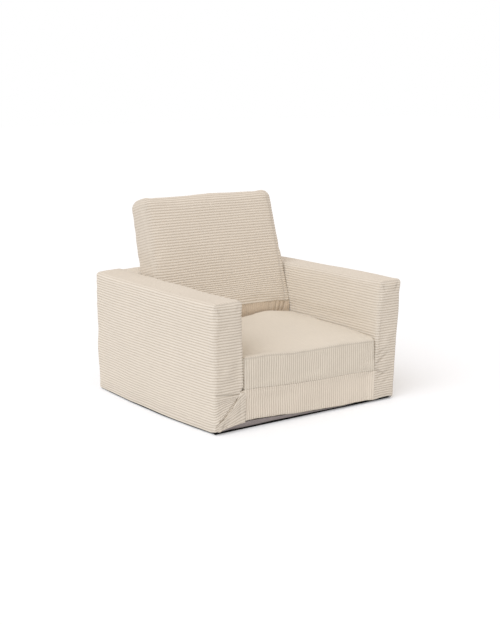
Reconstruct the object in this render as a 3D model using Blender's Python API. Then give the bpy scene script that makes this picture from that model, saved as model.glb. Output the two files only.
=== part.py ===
"""Foldable childrens armchair: foam blocks in corduroy covers, with a seat that turns over
about its front edge and a backrest that follows it on a strip of cloth.

Metres, +Z up, +Y to the rear. The origin is on the floor under the middle of the chair.
"""

import math

import bmesh
import bpy
from mathutils import Matrix, Vector

# The frame, over its covers
CHAIR_WIDTH = 0.535  # at the floor
CHAIR_DEPTH = 0.528
ARM_HEIGHT = 0.303
ARM_THICKNESS = 0.0665
ARM_SPLAY = 0.013  # how far each arm leans out at its top
BACK_WALL_THICKNESS = 0.095
BASE_HEIGHT = 0.090
LEDGE_THICKNESS = 0.090
FRAME_ROUNDING = 0.009

# The seat cushion
SEAT_LENGTH = 0.330
SEAT_THICKNESS = 0.077  # at its edges
SEAT_CROWN = 0.0125
SEAT_PEAK_SHARE = 0.45  # the crown is highest this far from the middle to the rear edge
SEAT_ROUNDING = 0.010
SEAT_SIDE_GAP = 0.0008  # to each arm

# The backrest
BACKREST_HEIGHT = 0.314
BACKREST_THICKNESS = 0.071
BACKREST_CROWN = 0.008
BACKREST_ROUNDING = 0.014
BACKREST_SIDE_GAP = 0.0105
BACKREST_LEAN = math.radians(15.8)

# Cloth
COVER_THICKNESS = 0.002
LINING_THICKNESS = 0.0015
LINING_INSET = 0.004
CUSHION_PULL_IN = 0.003  # how far a cushion's sides draw in between its corners
WELT_RADIUS = 0.0016
HINGE_TAPE_THICKNESS = 0.0006
HINGE_TAPE_DEPTH = 0.025
GUSSET_THICKNESS = 0.0015
GUSSET_SIDE_INSET = 0.006

# Zips
ZIP_TAPE_WIDTH = 0.024
ZIP_TAPE_THICKNESS = 0.0008
ZIP_COIL_WIDTH = 0.005  # both rows
ZIP_COIL_THICKNESS = 0.0016
ZIP_ROW_GAP = 0.0012
ZIP_STOP_LENGTH = 0.004
ZIP_TAPE_END = 0.006  # tape beyond the coil
ZIP_END_MARGIN = 0.0255  # cover beyond the tape
SLIDER_LENGTH = 0.009
SLIDER_WIDTH = 0.009
SLIDER_FRONT_PLATE = 0.0007
SLIDER_REAR_PLATE = 0.0005
SLIDER_LUG_WIDTH = 0.0014
SLIDER_LUG_HEIGHT = 0.0012

# Fits
FIT_GAP = 0.0003  # between pieces that touch
FOAM_GAP = 0.0009  # between a foam block and its cover
ZIP_CLEARANCE = 0.0024  # between a slider and what lies behind the cushion

# Facets
ROUND_SEGMENTS = 3
CROWN_STEPS = 6
WELT_SIDES = 8
SQUARELY_SHARE = 0.9  # how squarely a face has to look a way to count as facing it

# Places that follow from the sizes
FRONT_Y = -CHAIR_DEPTH / 2
REAR_Y = CHAIR_DEPTH / 2
INNER_HALF = CHAIR_WIDTH / 2 - ARM_THICKNESS
COVERS_BOTTOM = LINING_THICKNESS + FIT_GAP
SLIDER_REACH = (
    (ZIP_COIL_THICKNESS - ZIP_TAPE_THICKNESS) / 2
    + FIT_GAP
    + SLIDER_FRONT_PLATE
    + SLIDER_LUG_HEIGHT
)
WALL_REAR_Y = REAR_Y - SLIDER_REACH - FIT_GAP
WALL_FRONT_Y = WALL_REAR_Y - BACK_WALL_THICKNESS
BLOCK_HALF = INNER_HALF - FIT_GAP
BLOCK_FRONT_Y = FRONT_Y + FIT_GAP
HINGE_Z = BASE_HEIGHT + FIT_GAP + HINGE_TAPE_THICKNESS + FIT_GAP / 2
SEAT_BOTTOM_Z = HINGE_Z + FIT_GAP / 2 + HINGE_TAPE_THICKNESS + FIT_GAP
SEAT_TOP_Z = SEAT_BOTTOM_Z + SEAT_THICKNESS
SEAT_REAR_Y = BLOCK_FRONT_Y + SEAT_LENGTH
LEDGE_FRONT_Y = SEAT_REAR_Y + SLIDER_REACH + ZIP_CLEARANCE
LEDGE_TOP_Z = BASE_HEIGHT + FIT_GAP + LEDGE_THICKNESS
ZIP_LENGTH = 2 * (BLOCK_HALF - ZIP_END_MARGIN)


def splay_at(height):
    """How far the arms' inner faces stand out at this height."""
    return ARM_SPLAY * height / ARM_HEIGHT


SEAT_HALF = INNER_HALF + splay_at(SEAT_BOTTOM_Z) - SEAT_SIDE_GAP
BACKREST_HALF = INNER_HALF + splay_at(LEDGE_TOP_Z) - BACKREST_SIDE_GAP

# The backrest stands on the ledge with its lower rear edge and leans on the back wall's top edge
LEAN_SIN = math.sin(BACKREST_LEAN)
LEAN_COS = math.cos(BACKREST_LEAN)
WALL_EDGE_Y = WALL_FRONT_Y + FRAME_ROUNDING
WALL_EDGE_Z = ARM_HEIGHT - FRAME_ROUNDING
HEEL_Z = LEDGE_TOP_Z + FIT_GAP + BACKREST_ROUNDING
HEEL_Y = (
    WALL_EDGE_Y
    - (
        BACKREST_ROUNDING
        + FIT_GAP
        + FRAME_ROUNDING
        + LEAN_SIN * (WALL_EDGE_Z - HEEL_Z)
    )
    / LEAN_COS
)
TOE_SETBACK = BACKREST_THICKNESS - BACKREST_ROUNDING
TOE_Y = HEEL_Y - LEAN_COS * TOE_SETBACK - LEAN_SIN * BACKREST_ROUNDING
TOE_Z = HEEL_Z + LEAN_SIN * TOE_SETBACK - LEAN_COS * BACKREST_ROUNDING

# The cloth strip between them turns on the seat's rear face and carries the backrest's front edge
GUSSET_Y = SEAT_REAR_Y + FIT_GAP + GUSSET_THICKNESS / 2
GUSSET_BOTTOM_Z = SEAT_TOP_Z - SEAT_ROUNDING
GUSSET_SLANT = math.atan2(GUSSET_Y - TOE_Y, TOE_Z - GUSSET_BOTTOM_Z)
GUSSET_HEIGHT = math.hypot(GUSSET_Y - TOE_Y, TOE_Z - GUSSET_BOTTOM_Z) - FIT_GAP

CREAM = (0.66, 0.58, 0.46)
FOAM_WHITE = (0.80, 0.78, 0.70)
LINING_GREY = (0.25, 0.25, 0.27)
TAPE_CREAM = (0.60, 0.53, 0.43)
SLIDER_METAL = (0.55, 0.53, 0.48)
COIL_CREAM = (0.68, 0.61, 0.50)


def clear_scene():
    for thing in list(bpy.data.objects):
        bpy.data.objects.remove(thing, do_unlink=True)


def finish_material(name, colour, roughness, metallic=0.0):
    material = bpy.data.materials.new(name)
    material.use_nodes = True
    shader = material.node_tree.nodes["Principled BSDF"]
    shader.inputs["Base Color"].default_value = (*colour, 1.0)
    shader.inputs["Roughness"].default_value = roughness
    shader.inputs["Metallic"].default_value = metallic
    return material


def add_piece(name, bm, material, place=None, parent=None):
    """Turns the bmesh into an object of this name, put at the matrix place in the world."""
    bmesh.ops.recalc_face_normals(bm, faces=bm.faces)
    mesh = bpy.data.meshes.new(name)
    bm.to_mesh(mesh)
    bm.free()
    mesh.shade_smooth()
    mesh.set_sharp_from_angle(angle=math.radians(35))
    mesh.materials.append(material)
    piece = bpy.data.objects.new(name, mesh)
    bpy.context.scene.collection.objects.link(piece)
    if parent:
        piece.parent = parent
        piece.matrix_parent_inverse = parent.matrix_world.inverted()
    piece.matrix_world = place or Matrix.Identity(4)
    return piece


def add_pivot(name, y, z, parent=None):
    """An empty on a hinge's axis, which runs along X."""
    pivot = bpy.data.objects.new(name, None)
    bpy.context.scene.collection.objects.link(pivot)
    pivot.location = (0, y, z)
    if parent:
        bpy.context.view_layer.update()
        pivot.parent = parent
        pivot.matrix_parent_inverse = parent.matrix_world.inverted()
    bpy.context.view_layer.update()
    return pivot


def give_wall(piece, thickness):
    """Gives a cover its cloth, inside the surface that was drawn."""
    wall = piece.modifiers.new("Cloth", "SOLIDIFY")
    wall.thickness = thickness
    wall.offset = -1
    wall.use_even_offset = True
    wall.use_quality_normals = True
    return piece


def plain_box(size):
    bm = bmesh.new()
    bmesh.ops.create_cube(bm, size=1)
    bmesh.ops.scale(bm, vec=size, verts=bm.verts)
    return bm


def rounded_block(size, rounding, sharp_bottom=False):
    """A box with rounded edges. With sharp_bottom, its lowest edges stay square."""
    bm = plain_box(size)
    rounded = [
        edge
        for edge in bm.edges
        if not (sharp_bottom and all(vert.co.z < 0 for vert in edge.verts))
    ]
    bmesh.ops.bevel(
        bm,
        geom=rounded,
        offset=rounding,
        offset_type="OFFSET",
        segments=ROUND_SEGMENTS,
        profile=0.5,
        affect="EDGES",
        material=-1,
        clamp_overlap=True,
    )
    return bm


def slice_block(bm, axis, places):
    """Cuts new edges into the block where planes across the axis meet it."""
    normal = Vector((0, 0, 0))
    normal[axis] = 1
    for place in places:
        bmesh.ops.bisect_plane(
            bm,
            geom=bm.verts[:] + bm.edges[:] + bm.faces[:],
            plane_co=normal * place,
            plane_no=normal,
        )


def open_faces(bm, facing, low, high):
    """Deletes the faces that look along facing and lie between the corners low and high."""
    bm.normal_update()
    gone = []
    for face in bm.faces:
        middle = face.calc_center_median()
        inside = all(low[k] < middle[k] < high[k] for k in range(3))
        if inside and face.normal.dot(facing) > SQUARELY_SHARE:
            gone.append(face)
    bmesh.ops.delete(bm, geom=gone, context="FACES")


def open_bottom(bm):
    lowest = min(vert.co.z for vert in bm.verts)
    gone = [f for f in bm.faces if all(v.co.z <= lowest + FIT_GAP for v in f.verts)]
    bmesh.ops.delete(bm, geom=gone, context="FACES")


def lean_sides(bm, centre, half):
    """Leans a frame block's sides out with the arms. half is 0 on an arm, which leans as one."""
    for vert in bm.verts:
        shift = splay_at(vert.co.z + centre.z)
        vert.co.x += shift * (vert.co.x / half if half else math.copysign(1, centre.x))


def frame_block(name, low, high, foam_name, finishes, notch=None):
    """A foam block and the cover drawn over it, open at its foot, between two corners."""
    low, high = Vector(low), Vector(high)
    on_arm = low.x * high.x > 0
    inset = COVER_THICKNESS + FOAM_GAP
    for piece_name, shrink in ((name, 0), (foam_name, inset)):
        base = low + Vector((shrink, shrink, FIT_GAP if shrink else 0))
        top = high - Vector((shrink, shrink, shrink))
        size, centre = top - base, (base + top) / 2
        bm = rounded_block(size, FRAME_ROUNDING - shrink, sharp_bottom=True)
        if not shrink:
            if notch:
                half_length, height = notch
                slice_block(bm, 0, (-half_length, half_length))
                slice_block(bm, 2, (height - centre.z,))
                open_faces(
                    bm,
                    Vector((0, 1, 0)),
                    (-half_length, 0, -size.z),
                    (half_length, size.y, height - centre.z),
                )
            open_bottom(bm)
        lean_sides(bm, centre, 0 if on_arm else size.x / 2)
        material = finishes["foam" if shrink else "corduroy"]
        piece = add_piece(piece_name, bm, material, Matrix.Translation(centre))
        if not shrink:
            give_wall(piece, COVER_THICKNESS)


def build_frame(finishes):
    """The two arms, the back wall, the base, the ledge behind the seat and the lining."""
    outer = CHAIR_WIDTH / 2
    for side, name in ((-1, "left"), (1, "right")):
        across = sorted((side * outer, side * INNER_HALF))
        frame_block(
            f"arm_cover_{name}",
            (across[0], FRONT_Y, COVERS_BOTTOM),
            (across[1], REAR_Y, ARM_HEIGHT),
            f"arm_foam_{name}",
            finishes,
        )
    frame_block(
        "back_wall_cover",
        (-BLOCK_HALF, WALL_FRONT_Y, COVERS_BOTTOM),
        (BLOCK_HALF, WALL_REAR_Y, ARM_HEIGHT),
        "back_wall_foam",
        finishes,
        notch=(ZIP_LENGTH / 2 + FIT_GAP, COVERS_BOTTOM + ZIP_TAPE_WIDTH + FIT_GAP),
    )
    frame_block(
        "base_cover",
        (-BLOCK_HALF, BLOCK_FRONT_Y, COVERS_BOTTOM),
        (BLOCK_HALF, WALL_FRONT_Y - FIT_GAP, BASE_HEIGHT),
        "base_foam",
        finishes,
    )
    frame_block(
        "ledge_cover",
        (-BLOCK_HALF, LEDGE_FRONT_Y, BASE_HEIGHT + FIT_GAP),
        (BLOCK_HALF, WALL_FRONT_Y - FIT_GAP, LEDGE_TOP_Z),
        "ledge_foam",
        finishes,
    )
    lining_size = (
        CHAIR_WIDTH - 2 * LINING_INSET,
        CHAIR_DEPTH - 2 * LINING_INSET,
        LINING_THICKNESS,
    )
    middle = Matrix.Translation((0, 0, LINING_THICKNESS / 2))
    add_piece("bottom_lining", plain_box(lining_size), finishes["lining"], middle)


def crown_at(u, v, peak_share):
    """The share of the crown at a place from -1 to 1 each way: 1 where it peaks, 0 at the edges."""
    side = 1 - peak_share if v > peak_share else 1 + peak_share
    fall = (v - peak_share) / side
    return max(0.0, 1 - u * u) * max(0.0, 1 - fall * fall)


def cushion(size, rounding, crown, peak_share, shrink, slot_facing, slot_middle):
    """A crowned cushion, lying flat, whose left and right sides draw in between its corners.

    The crown peaks at peak_share of the way from the middle to the edge on +Y. shrink sets the
    surface in, for the foam. The cover, which isn't set in, gets a slot for its zip: slot_facing
    is the side that it is in, and slot_middle its middle."""
    full = Vector(size)
    bm = rounded_block(full - Vector((shrink, shrink, shrink)) * 2, rounding - shrink)
    for axis in range(2):
        flat = full[axis] / 2 - rounding
        steps = [flat * (2 * k / CROWN_STEPS - 1) for k in range(1, CROWN_STEPS)]
        slice_block(bm, axis, steps)
    if not shrink:
        across = 2 if abs(slot_facing.y) > abs(slot_facing.z) else 1
        reach = Vector((ZIP_LENGTH / 2 + FIT_GAP, full.y, full.z))
        reach[across] = ZIP_TAPE_WIDTH / 2 + FIT_GAP
        for axis in (0, across):
            slice_block(bm, axis, (slot_middle[axis] - reach[axis], slot_middle[axis] + reach[axis]))
        open_faces(bm, slot_facing, slot_middle - reach, slot_middle + reach)
    for vert in bm.verts:
        u, v = vert.co.x / (full.x / 2), vert.co.y / (full.y / 2)
        if vert.co.z > 0:
            vert.co.z += crown * crown_at(u, v, peak_share)
        vert.co.x -= CUSHION_PULL_IN * u * max(0.0, 1 - v * v)
    return bm


def build_cushion(part, form, place, slot_facing, slot_middle, finishes, pivot):
    """A cushion's cover and foam. form holds its size, rounding, crown and the crown's peak share."""
    inset = COVER_THICKNESS + FOAM_GAP
    slot = (Vector(slot_facing), Vector(slot_middle))
    cover = cushion(*form, 0, *slot)
    give_wall(add_piece(f"{part}_cover", cover, finishes["corduroy"], place, pivot), COVER_THICKNESS)
    core = cushion(*form, inset, *slot)
    add_piece(f"{part}_foam", core, finishes["foam"], place, pivot)


def slotted_plate(length, width, thickness, slot_length, slot_width):
    """A plate lying flat along X, with a slot through its middle."""
    bm = plain_box((length, width, thickness))
    slice_block(bm, 0, (-slot_length / 2, slot_length / 2))
    slice_block(bm, 1, (-slot_width / 2, slot_width / 2))
    for facing in (Vector((0, 0, 1)), Vector((0, 0, -1))):
        reach = Vector((slot_length / 2, slot_width / 2, thickness))
        open_faces(bm, facing, -reach, reach)
    rim = [edge for edge in bm.edges if edge.is_boundary]
    bmesh.ops.bridge_loops(bm, edges=rim)
    return bm


def slider_body():
    """The slider: two plates round the coil, joined by the wedge between its rows, with a lug."""
    middle = -ZIP_TAPE_THICKNESS / 2
    above = middle + ZIP_COIL_THICKNESS / 2 + FIT_GAP
    below = middle - ZIP_COIL_THICKNESS / 2 - FIT_GAP
    plate, wedge, lug = SLIDER_WIDTH / 2, ZIP_ROW_GAP / 2 - FIT_GAP, SLIDER_LUG_WIDTH / 2
    half = [
        (plate, below - SLIDER_REAR_PLATE),
        (plate, below),
        (wedge, below),
        (wedge, above),
        (plate, above),
        (plate, above + SLIDER_FRONT_PLATE),
        (lug, above + SLIDER_FRONT_PLATE),
        (lug, above + SLIDER_FRONT_PLATE + SLIDER_LUG_HEIGHT),
    ]
    outline = half + [(-across, out) for across, out in reversed(half)]
    bm = bmesh.new()
    verts = [bm.verts.new((-SLIDER_LENGTH / 2, across, out)) for across, out in outline]
    face = bm.faces.new(verts)
    made = bmesh.ops.extrude_face_region(bm, geom=[face])
    moved = [thing for thing in made["geom"] if isinstance(thing, bmesh.types.BMVert)]
    bmesh.ops.translate(bm, vec=(SLIDER_LENGTH, 0, 0), verts=moved)
    return bm


def build_zip(part, place, finishes, pivot=None):
    """A closed zip: tape, coil and slider. place takes X along it and Z out of the cover."""
    sink = Matrix.Translation((0, 0, -ZIP_TAPE_THICKNESS / 2))
    coil_length = ZIP_LENGTH - 2 * ZIP_TAPE_END
    tape = slotted_plate(
        ZIP_LENGTH,
        ZIP_TAPE_WIDTH,
        ZIP_TAPE_THICKNESS,
        coil_length + 2 * FIT_GAP,
        ZIP_COIL_WIDTH + 2 * FIT_GAP,
    )
    add_piece(f"{part}_zip_tape", tape, finishes["tape"], place @ sink, pivot)
    run = coil_length - 2 * ZIP_STOP_LENGTH
    coil = slotted_plate(coil_length, ZIP_COIL_WIDTH, ZIP_COIL_THICKNESS, run, ZIP_ROW_GAP)
    add_piece(f"{part}_zip_coil", coil, finishes["coil"], place @ sink, pivot)
    start = Matrix.Translation(((SLIDER_LENGTH - run) / 2 + FIT_GAP, 0, 0))
    add_piece(f"{part}_zip_slider", slider_body(), finishes["slider_metal"], place @ start, pivot)


def facing_rear(y, z):
    """Places a zip in a rear face: along X, with the cover's outside to the rear."""
    turn = Matrix(((-1, 0, 0, 0), (0, 0, 1, 0), (0, 1, 0, 0), (0, 0, 0, 1)))
    return Matrix.Translation((0, y, z)) @ turn


def build_seat(finishes, pivot):
    """The seat cushion with its welt, its zip and its leaf of the front hinge."""
    size = (2 * SEAT_HALF, SEAT_LENGTH, SEAT_THICKNESS)
    centre = Vector((0, BLOCK_FRONT_Y + SEAT_LENGTH / 2, SEAT_BOTTOM_Z + SEAT_THICKNESS / 2))
    build_cushion(
        "seat",
        (size, SEAT_ROUNDING, SEAT_CROWN, SEAT_PEAK_SHARE),
        Matrix.Translation(centre),
        (0, 1, 0),
        (0, SEAT_LENGTH / 2, 0),
        finishes,
        pivot,
    )
    build_zip("seat", facing_rear(SEAT_REAR_Y, centre.z), finishes, pivot)
    bm = bmesh.new()
    bmesh.ops.create_cone(
        bm,
        cap_ends=True,
        segments=WELT_SIDES,
        radius1=WELT_RADIUS,
        radius2=WELT_RADIUS,
        depth=2 * (SEAT_HALF - SEAT_ROUNDING),
        matrix=Matrix.Rotation(math.pi / 2, 4, "Y"),
    )
    out = (SEAT_ROUNDING + WELT_RADIUS + FIT_GAP) * math.sqrt(0.5) - SEAT_ROUNDING
    place = Matrix.Translation((0, BLOCK_FRONT_Y - out, SEAT_TOP_Z + out))
    add_piece("seat_front_welt", bm, finishes["corduroy"], place, pivot)


def build_front_hinge(finishes, pivot):
    """The two leaves of tape that the seat turns on, one sewn to the base and one to the seat."""
    size = (2 * BLOCK_HALF, HINGE_TAPE_DEPTH, HINGE_TAPE_THICKNESS)
    away = (FIT_GAP + HINGE_TAPE_THICKNESS) / 2
    y = BLOCK_FRONT_Y + HINGE_TAPE_DEPTH / 2
    for name, z, carrier in (
        ("base_hinge_tape", HINGE_Z - away, None),
        ("seat_hinge_tape", HINGE_Z + away, pivot),
    ):
        place = Matrix.Translation((0, y, z))
        add_piece(name, plain_box(size), finishes["tape"], place, carrier)


def build_gusset(finishes, pivot):
    """The strip of cloth that joins the seat's rear edge to the backrest's lower front edge."""
    size = (2 * (SEAT_HALF - GUSSET_SIDE_INSET), GUSSET_THICKNESS, GUSSET_HEIGHT)
    turn = Matrix.Rotation(GUSSET_SLANT, 4, "X")
    place = Matrix.Translation((0, GUSSET_Y, GUSSET_BOTTOM_Z)) @ turn
    raised = Matrix.Translation((0, 0, GUSSET_HEIGHT / 2))
    add_piece("backrest_gusset", plain_box(size), finishes["corduroy"], place @ raised, pivot)


def build_backrest(finishes, pivot):
    """The backrest, drawn lying on its rear face and then stood up against the back wall."""
    size = (2 * BACKREST_HALF, BACKREST_HEIGHT, BACKREST_THICKNESS)
    stand = Matrix.Rotation(math.pi / 2 - BACKREST_LEAN, 4, "X")
    lift = Matrix.Translation((0, BACKREST_HEIGHT / 2, -BACKREST_THICKNESS / 2))
    foot = Matrix.Translation((0, TOE_Y, TOE_Z)) @ stand
    build_cushion(
        "backrest",
        (size, BACKREST_ROUNDING, BACKREST_CROWN, 0),
        foot @ lift,
        (0, -1, 0),
        (0, -BACKREST_HEIGHT / 2, 0),
        finishes,
        pivot,
    )
    turn = Matrix(((1, 0, 0, 0), (0, 0, -1, 0), (0, 1, 0, 0), (0, 0, 0, 1)))
    below = Matrix.Translation((0, 0, -BACKREST_THICKNESS / 2))
    build_zip("backrest", foot @ below @ turn, finishes, pivot)


def main():
    clear_scene()
    finishes = {
        "corduroy": finish_material("corduroy", CREAM, 0.9),
        "foam": finish_material("foam", FOAM_WHITE, 1.0),
        "lining": finish_material("lining", LINING_GREY, 0.85),
        "tape": finish_material("tape", TAPE_CREAM, 0.8),
        "coil": finish_material("coil", COIL_CREAM, 0.5),
        "slider_metal": finish_material("slider_metal", SLIDER_METAL, 0.4, 1.0),
    }
    seat_pivot = add_pivot("seat_pivot", FRONT_Y, HINGE_Z)
    gusset_pivot = add_pivot("gusset_pivot", GUSSET_Y, GUSSET_BOTTOM_Z, seat_pivot)
    backrest_pivot = add_pivot("backrest_pivot", TOE_Y, TOE_Z, gusset_pivot)
    build_frame(finishes)
    build_zip("frame", facing_rear(WALL_REAR_Y, COVERS_BOTTOM + ZIP_TAPE_WIDTH / 2), finishes)
    build_front_hinge(finishes, seat_pivot)
    build_seat(finishes, seat_pivot)
    build_gusset(finishes, gusset_pivot)
    build_backrest(finishes, backrest_pivot)


main()
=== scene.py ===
import math
from functools import partial

import bmesh
import bpy
import numpy as np
from mathutils import Matrix, Vector


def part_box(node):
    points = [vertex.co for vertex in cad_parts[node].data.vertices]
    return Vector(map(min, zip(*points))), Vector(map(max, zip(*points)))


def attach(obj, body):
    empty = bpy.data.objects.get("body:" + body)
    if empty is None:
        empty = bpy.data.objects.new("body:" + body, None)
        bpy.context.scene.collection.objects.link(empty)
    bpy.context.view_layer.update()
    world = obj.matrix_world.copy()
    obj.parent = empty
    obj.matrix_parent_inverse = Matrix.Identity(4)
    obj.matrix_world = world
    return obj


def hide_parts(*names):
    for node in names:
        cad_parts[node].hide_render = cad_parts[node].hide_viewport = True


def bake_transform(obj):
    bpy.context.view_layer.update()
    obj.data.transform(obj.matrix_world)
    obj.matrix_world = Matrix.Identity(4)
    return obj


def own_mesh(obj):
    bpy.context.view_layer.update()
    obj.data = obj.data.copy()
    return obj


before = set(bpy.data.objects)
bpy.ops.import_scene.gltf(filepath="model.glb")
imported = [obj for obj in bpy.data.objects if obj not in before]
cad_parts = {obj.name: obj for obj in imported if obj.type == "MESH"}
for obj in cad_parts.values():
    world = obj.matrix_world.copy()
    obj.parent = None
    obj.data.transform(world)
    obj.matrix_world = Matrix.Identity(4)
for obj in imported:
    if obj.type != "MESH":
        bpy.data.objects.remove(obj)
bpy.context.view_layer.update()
scene = bpy.context.scene
quarter = math.pi / 4
axisOf = {"x": 0, "y": 1, "z": 2}
white = (1.0, 1.0, 1.0, 1.0)

# the photograph's view, soft light and a pale floor
studio = {
    "target": (0.0018, -0.0240, 0.2144),
    "azimuth": -36.683,
    "elevation": 11.389,
    "distance": 3.0011,
    "lens": 68.83,
    "sensorWidth": 36.0,
    "skyLight": 0.745,
    "skyColour": (1.0, 0.915, 0.855, 1.0),
    "keyLight": 1.52,
    "keyColour": (0.96, 1.0, 1.07),
    "keySpread": 55.0,
    "keyFrom": (-0.66, -0.28, 0.70),
    "floorSize": 14.0,
    "floorColour": (0.78, 0.80, 0.82, 1.0),
    "floorLift": 0.225,
}


def wire(tree, kind, inputs=None, **settings):
    node = tree.nodes.new(kind)
    for name, value in settings.items():
        setattr(node, name, value)
    for name, value in (inputs or {}).items():
        if isinstance(value, bpy.types.NodeSocket):
            tree.links.new(value, node.inputs[name])
        else:
            node.inputs[name].default_value = value
    return node


def calc(tree, operation, *values):
    inputs = dict(enumerate(values))
    return wire(tree, "ShaderNodeMath", inputs, operation=operation).outputs[0]


def seenDirectly(tree):
    # 1 for what the camera sees itself, or in a gloss or through glass
    path = wire(tree, "ShaderNodeLightPath").outputs
    gloss = calc(tree, "MAXIMUM", path["Is Glossy Ray"], path["Is Transmission Ray"])
    return calc(tree, "MAXIMUM", path["Is Camera Ray"], gloss)


def addObject(name, data):
    thing = bpy.data.objects.new(name, data)
    scene.collection.objects.link(thing)
    return thing


def meshFrom(bm, name):
    mesh = bpy.data.meshes.new(name)
    bm.to_mesh(mesh)
    bm.free()
    return mesh


def emptyTree(owner):
    owner.use_nodes = True
    owner.node_tree.nodes.clear()
    return owner.node_tree


def setCamera():
    azimuth, elevation = math.radians(studio["azimuth"]), math.radians(studio["elevation"])
    level = math.cos(elevation)
    back = Vector((math.sin(azimuth) * level, -math.cos(azimuth) * level, math.sin(elevation)))
    camera = addObject("camera", bpy.data.cameras.new("camera"))
    camera.location = Vector(studio["target"]) + back * studio["distance"]
    camera.rotation_euler = (-back).to_track_quat("-Z", "Y").to_euler()
    camera.data.lens = studio["lens"]
    camera.data.sensor_width = studio["sensorWidth"]
    scene.camera = camera
    scene.view_settings.view_transform = "Standard"


def setLight():
    scene.world = bpy.data.worlds.new("softSky")
    tree = emptyTree(scene.world)
    sky = {"Color": studio["skyColour"], "Strength": studio["skyLight"]}
    light = wire(tree, "ShaderNodeBackground", sky)
    seen = wire(tree, "ShaderNodeBackground", {"Color": white, "Strength": 1.0})
    shares = {0: seenDirectly(tree), 1: light.outputs[0], 2: seen.outputs[0]}
    mix = wire(tree, "ShaderNodeMixShader", shares)
    wire(tree, "ShaderNodeOutputWorld", {"Surface": mix.outputs[0]})

    key = addObject("keyLight", bpy.data.lights.new("keyLight", "SUN"))
    key.data.energy = studio["keyLight"]
    key.data.color = studio["keyColour"]
    key.data.angle = math.radians(studio["keySpread"])
    key.rotation_euler = Vector(studio["keyFrom"]).to_track_quat("Z", "Y").to_euler()


def layFloor():
    bm = bmesh.new()
    bmesh.ops.create_grid(bm, x_segments=1, y_segments=1, size=studio["floorSize"])
    floor = addObject("floor", meshFrom(bm, "floor"))
    paint = bpy.data.materials.new("paleFloor")
    tree = emptyTree(paint)
    matt = wire(tree, "ShaderNodeBsdfDiffuse", {"Color": studio["floorColour"]})
    lift = calc(tree, "MULTIPLY", seenDirectly(tree), studio["floorLift"])
    glow = wire(tree, "ShaderNodeEmission", {"Color": white, "Strength": lift})
    both = wire(tree, "ShaderNodeAddShader", {0: matt.outputs[0], 1: glow.outputs[0]})
    wire(tree, "ShaderNodeOutputMaterial", {"Surface": both.outputs[0]})
    floor.data.materials.append(paint)


setCamera()
setLight()
layFloor()
print("studio set")

# finishes
pileLook = {
    "ribRoundness": 0.75,
    "meanGroove": 0.31,
    "napScale": 11.0,
    "tuftScale": 1150.0,
    "tufts": 0.14,
    "streakScales": (45.0, 1.3),
    "streaks": 0.09,
    # how much the seam, hollow and rub masks darken the light: painted shade at seams and in
    # hollows, a painted highlight where hollow is negative, and wear on the rubbed edges
    "dulling": (-0.16, -0.30, -0.10),
    # the tint of the painted shade in the grooves, browner than grey
    "browning": (1.0, 1.10, 1.26),
    "tuftHeight": 0.75,
    "ribHeight": 0.25,
    "roughness": 0.88,
    "grooveRoughness": 0.06,
    "rubPolish": 0.08,
    "sheen": 0.12,
    "relief": (0.45, 0.0005),
}

weaveLook = {
    "threads": 0.3,
    "slubScale": 160.0,
    "slubs": 0.16,
    "soilScale": 9.0,
    "roughness": 0.78,
    "slubRoughness": 0.1,
    "floorGloss": 0.2,
    "sheen": 0.05,
    "relief": (0.5, 0.0003),
}

metalLook = {
    "scratchScales": (300.0, 2500.0, 2500.0),
    "scratches": 0.2,
    "dullScale": 420.0,
    "dulling": 0.25,
    "roughness": 0.22,
    "dullRoughness": 0.3,
    "relief": (0.2, 0.0001),
}

plasticLook = {
    "grainScale": 700.0,
    "grain": 0.18,
    "roughness": 0.3,
    "grainRoughness": 0.2,
    "relief": (0.2, 0.0001),
}


def newGroup(name, place, *numbers):
    # a place, a colour and numbers go in; a colour, a height and a roughness come out
    group = bpy.data.node_groups.new(name, "ShaderNodeTree")
    sockets = [(place, "INPUT", "Vector"), ("Colour", "INPUT", "Color")]
    sockets += [(number, "INPUT", "Float") for number in numbers]
    sockets += [("Colour", "OUTPUT", "Color"), ("Height", "OUTPUT", "Float")]
    sockets += [("Roughness", "OUTPUT", "Float")]
    for socketName, way, kind in sockets:
        group.interface.new_socket(socketName, in_out=way, socket_type="NodeSocket" + kind)
    return group, wire(group, "NodeGroupInput").outputs


def scale(tree, colour, factor):
    # multiplies a colour or a vector by a number
    inputs = {0: colour, "Scale": factor}
    return wire(tree, "ShaderNodeVectorMath", inputs, operation="SCALE").outputs[0]


def centred(tree, value, amount):
    # turns 0..1 into 1 plus or minus half the amount
    return calc(tree, "MULTIPLY_ADD", calc(tree, "SUBTRACT", value, 0.5), amount, 1.0)


def noise(tree, place, fineness, detail=2.0):
    inputs = {"Vector": place, "Scale": fineness, "Detail": detail}
    return wire(tree, "ShaderNodeTexNoise", inputs).outputs[0]


def joined(tree, first, second):
    return wire(tree, "ShaderNodeCombineXYZ", {0: first, 1: second}).outputs[0]


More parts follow.
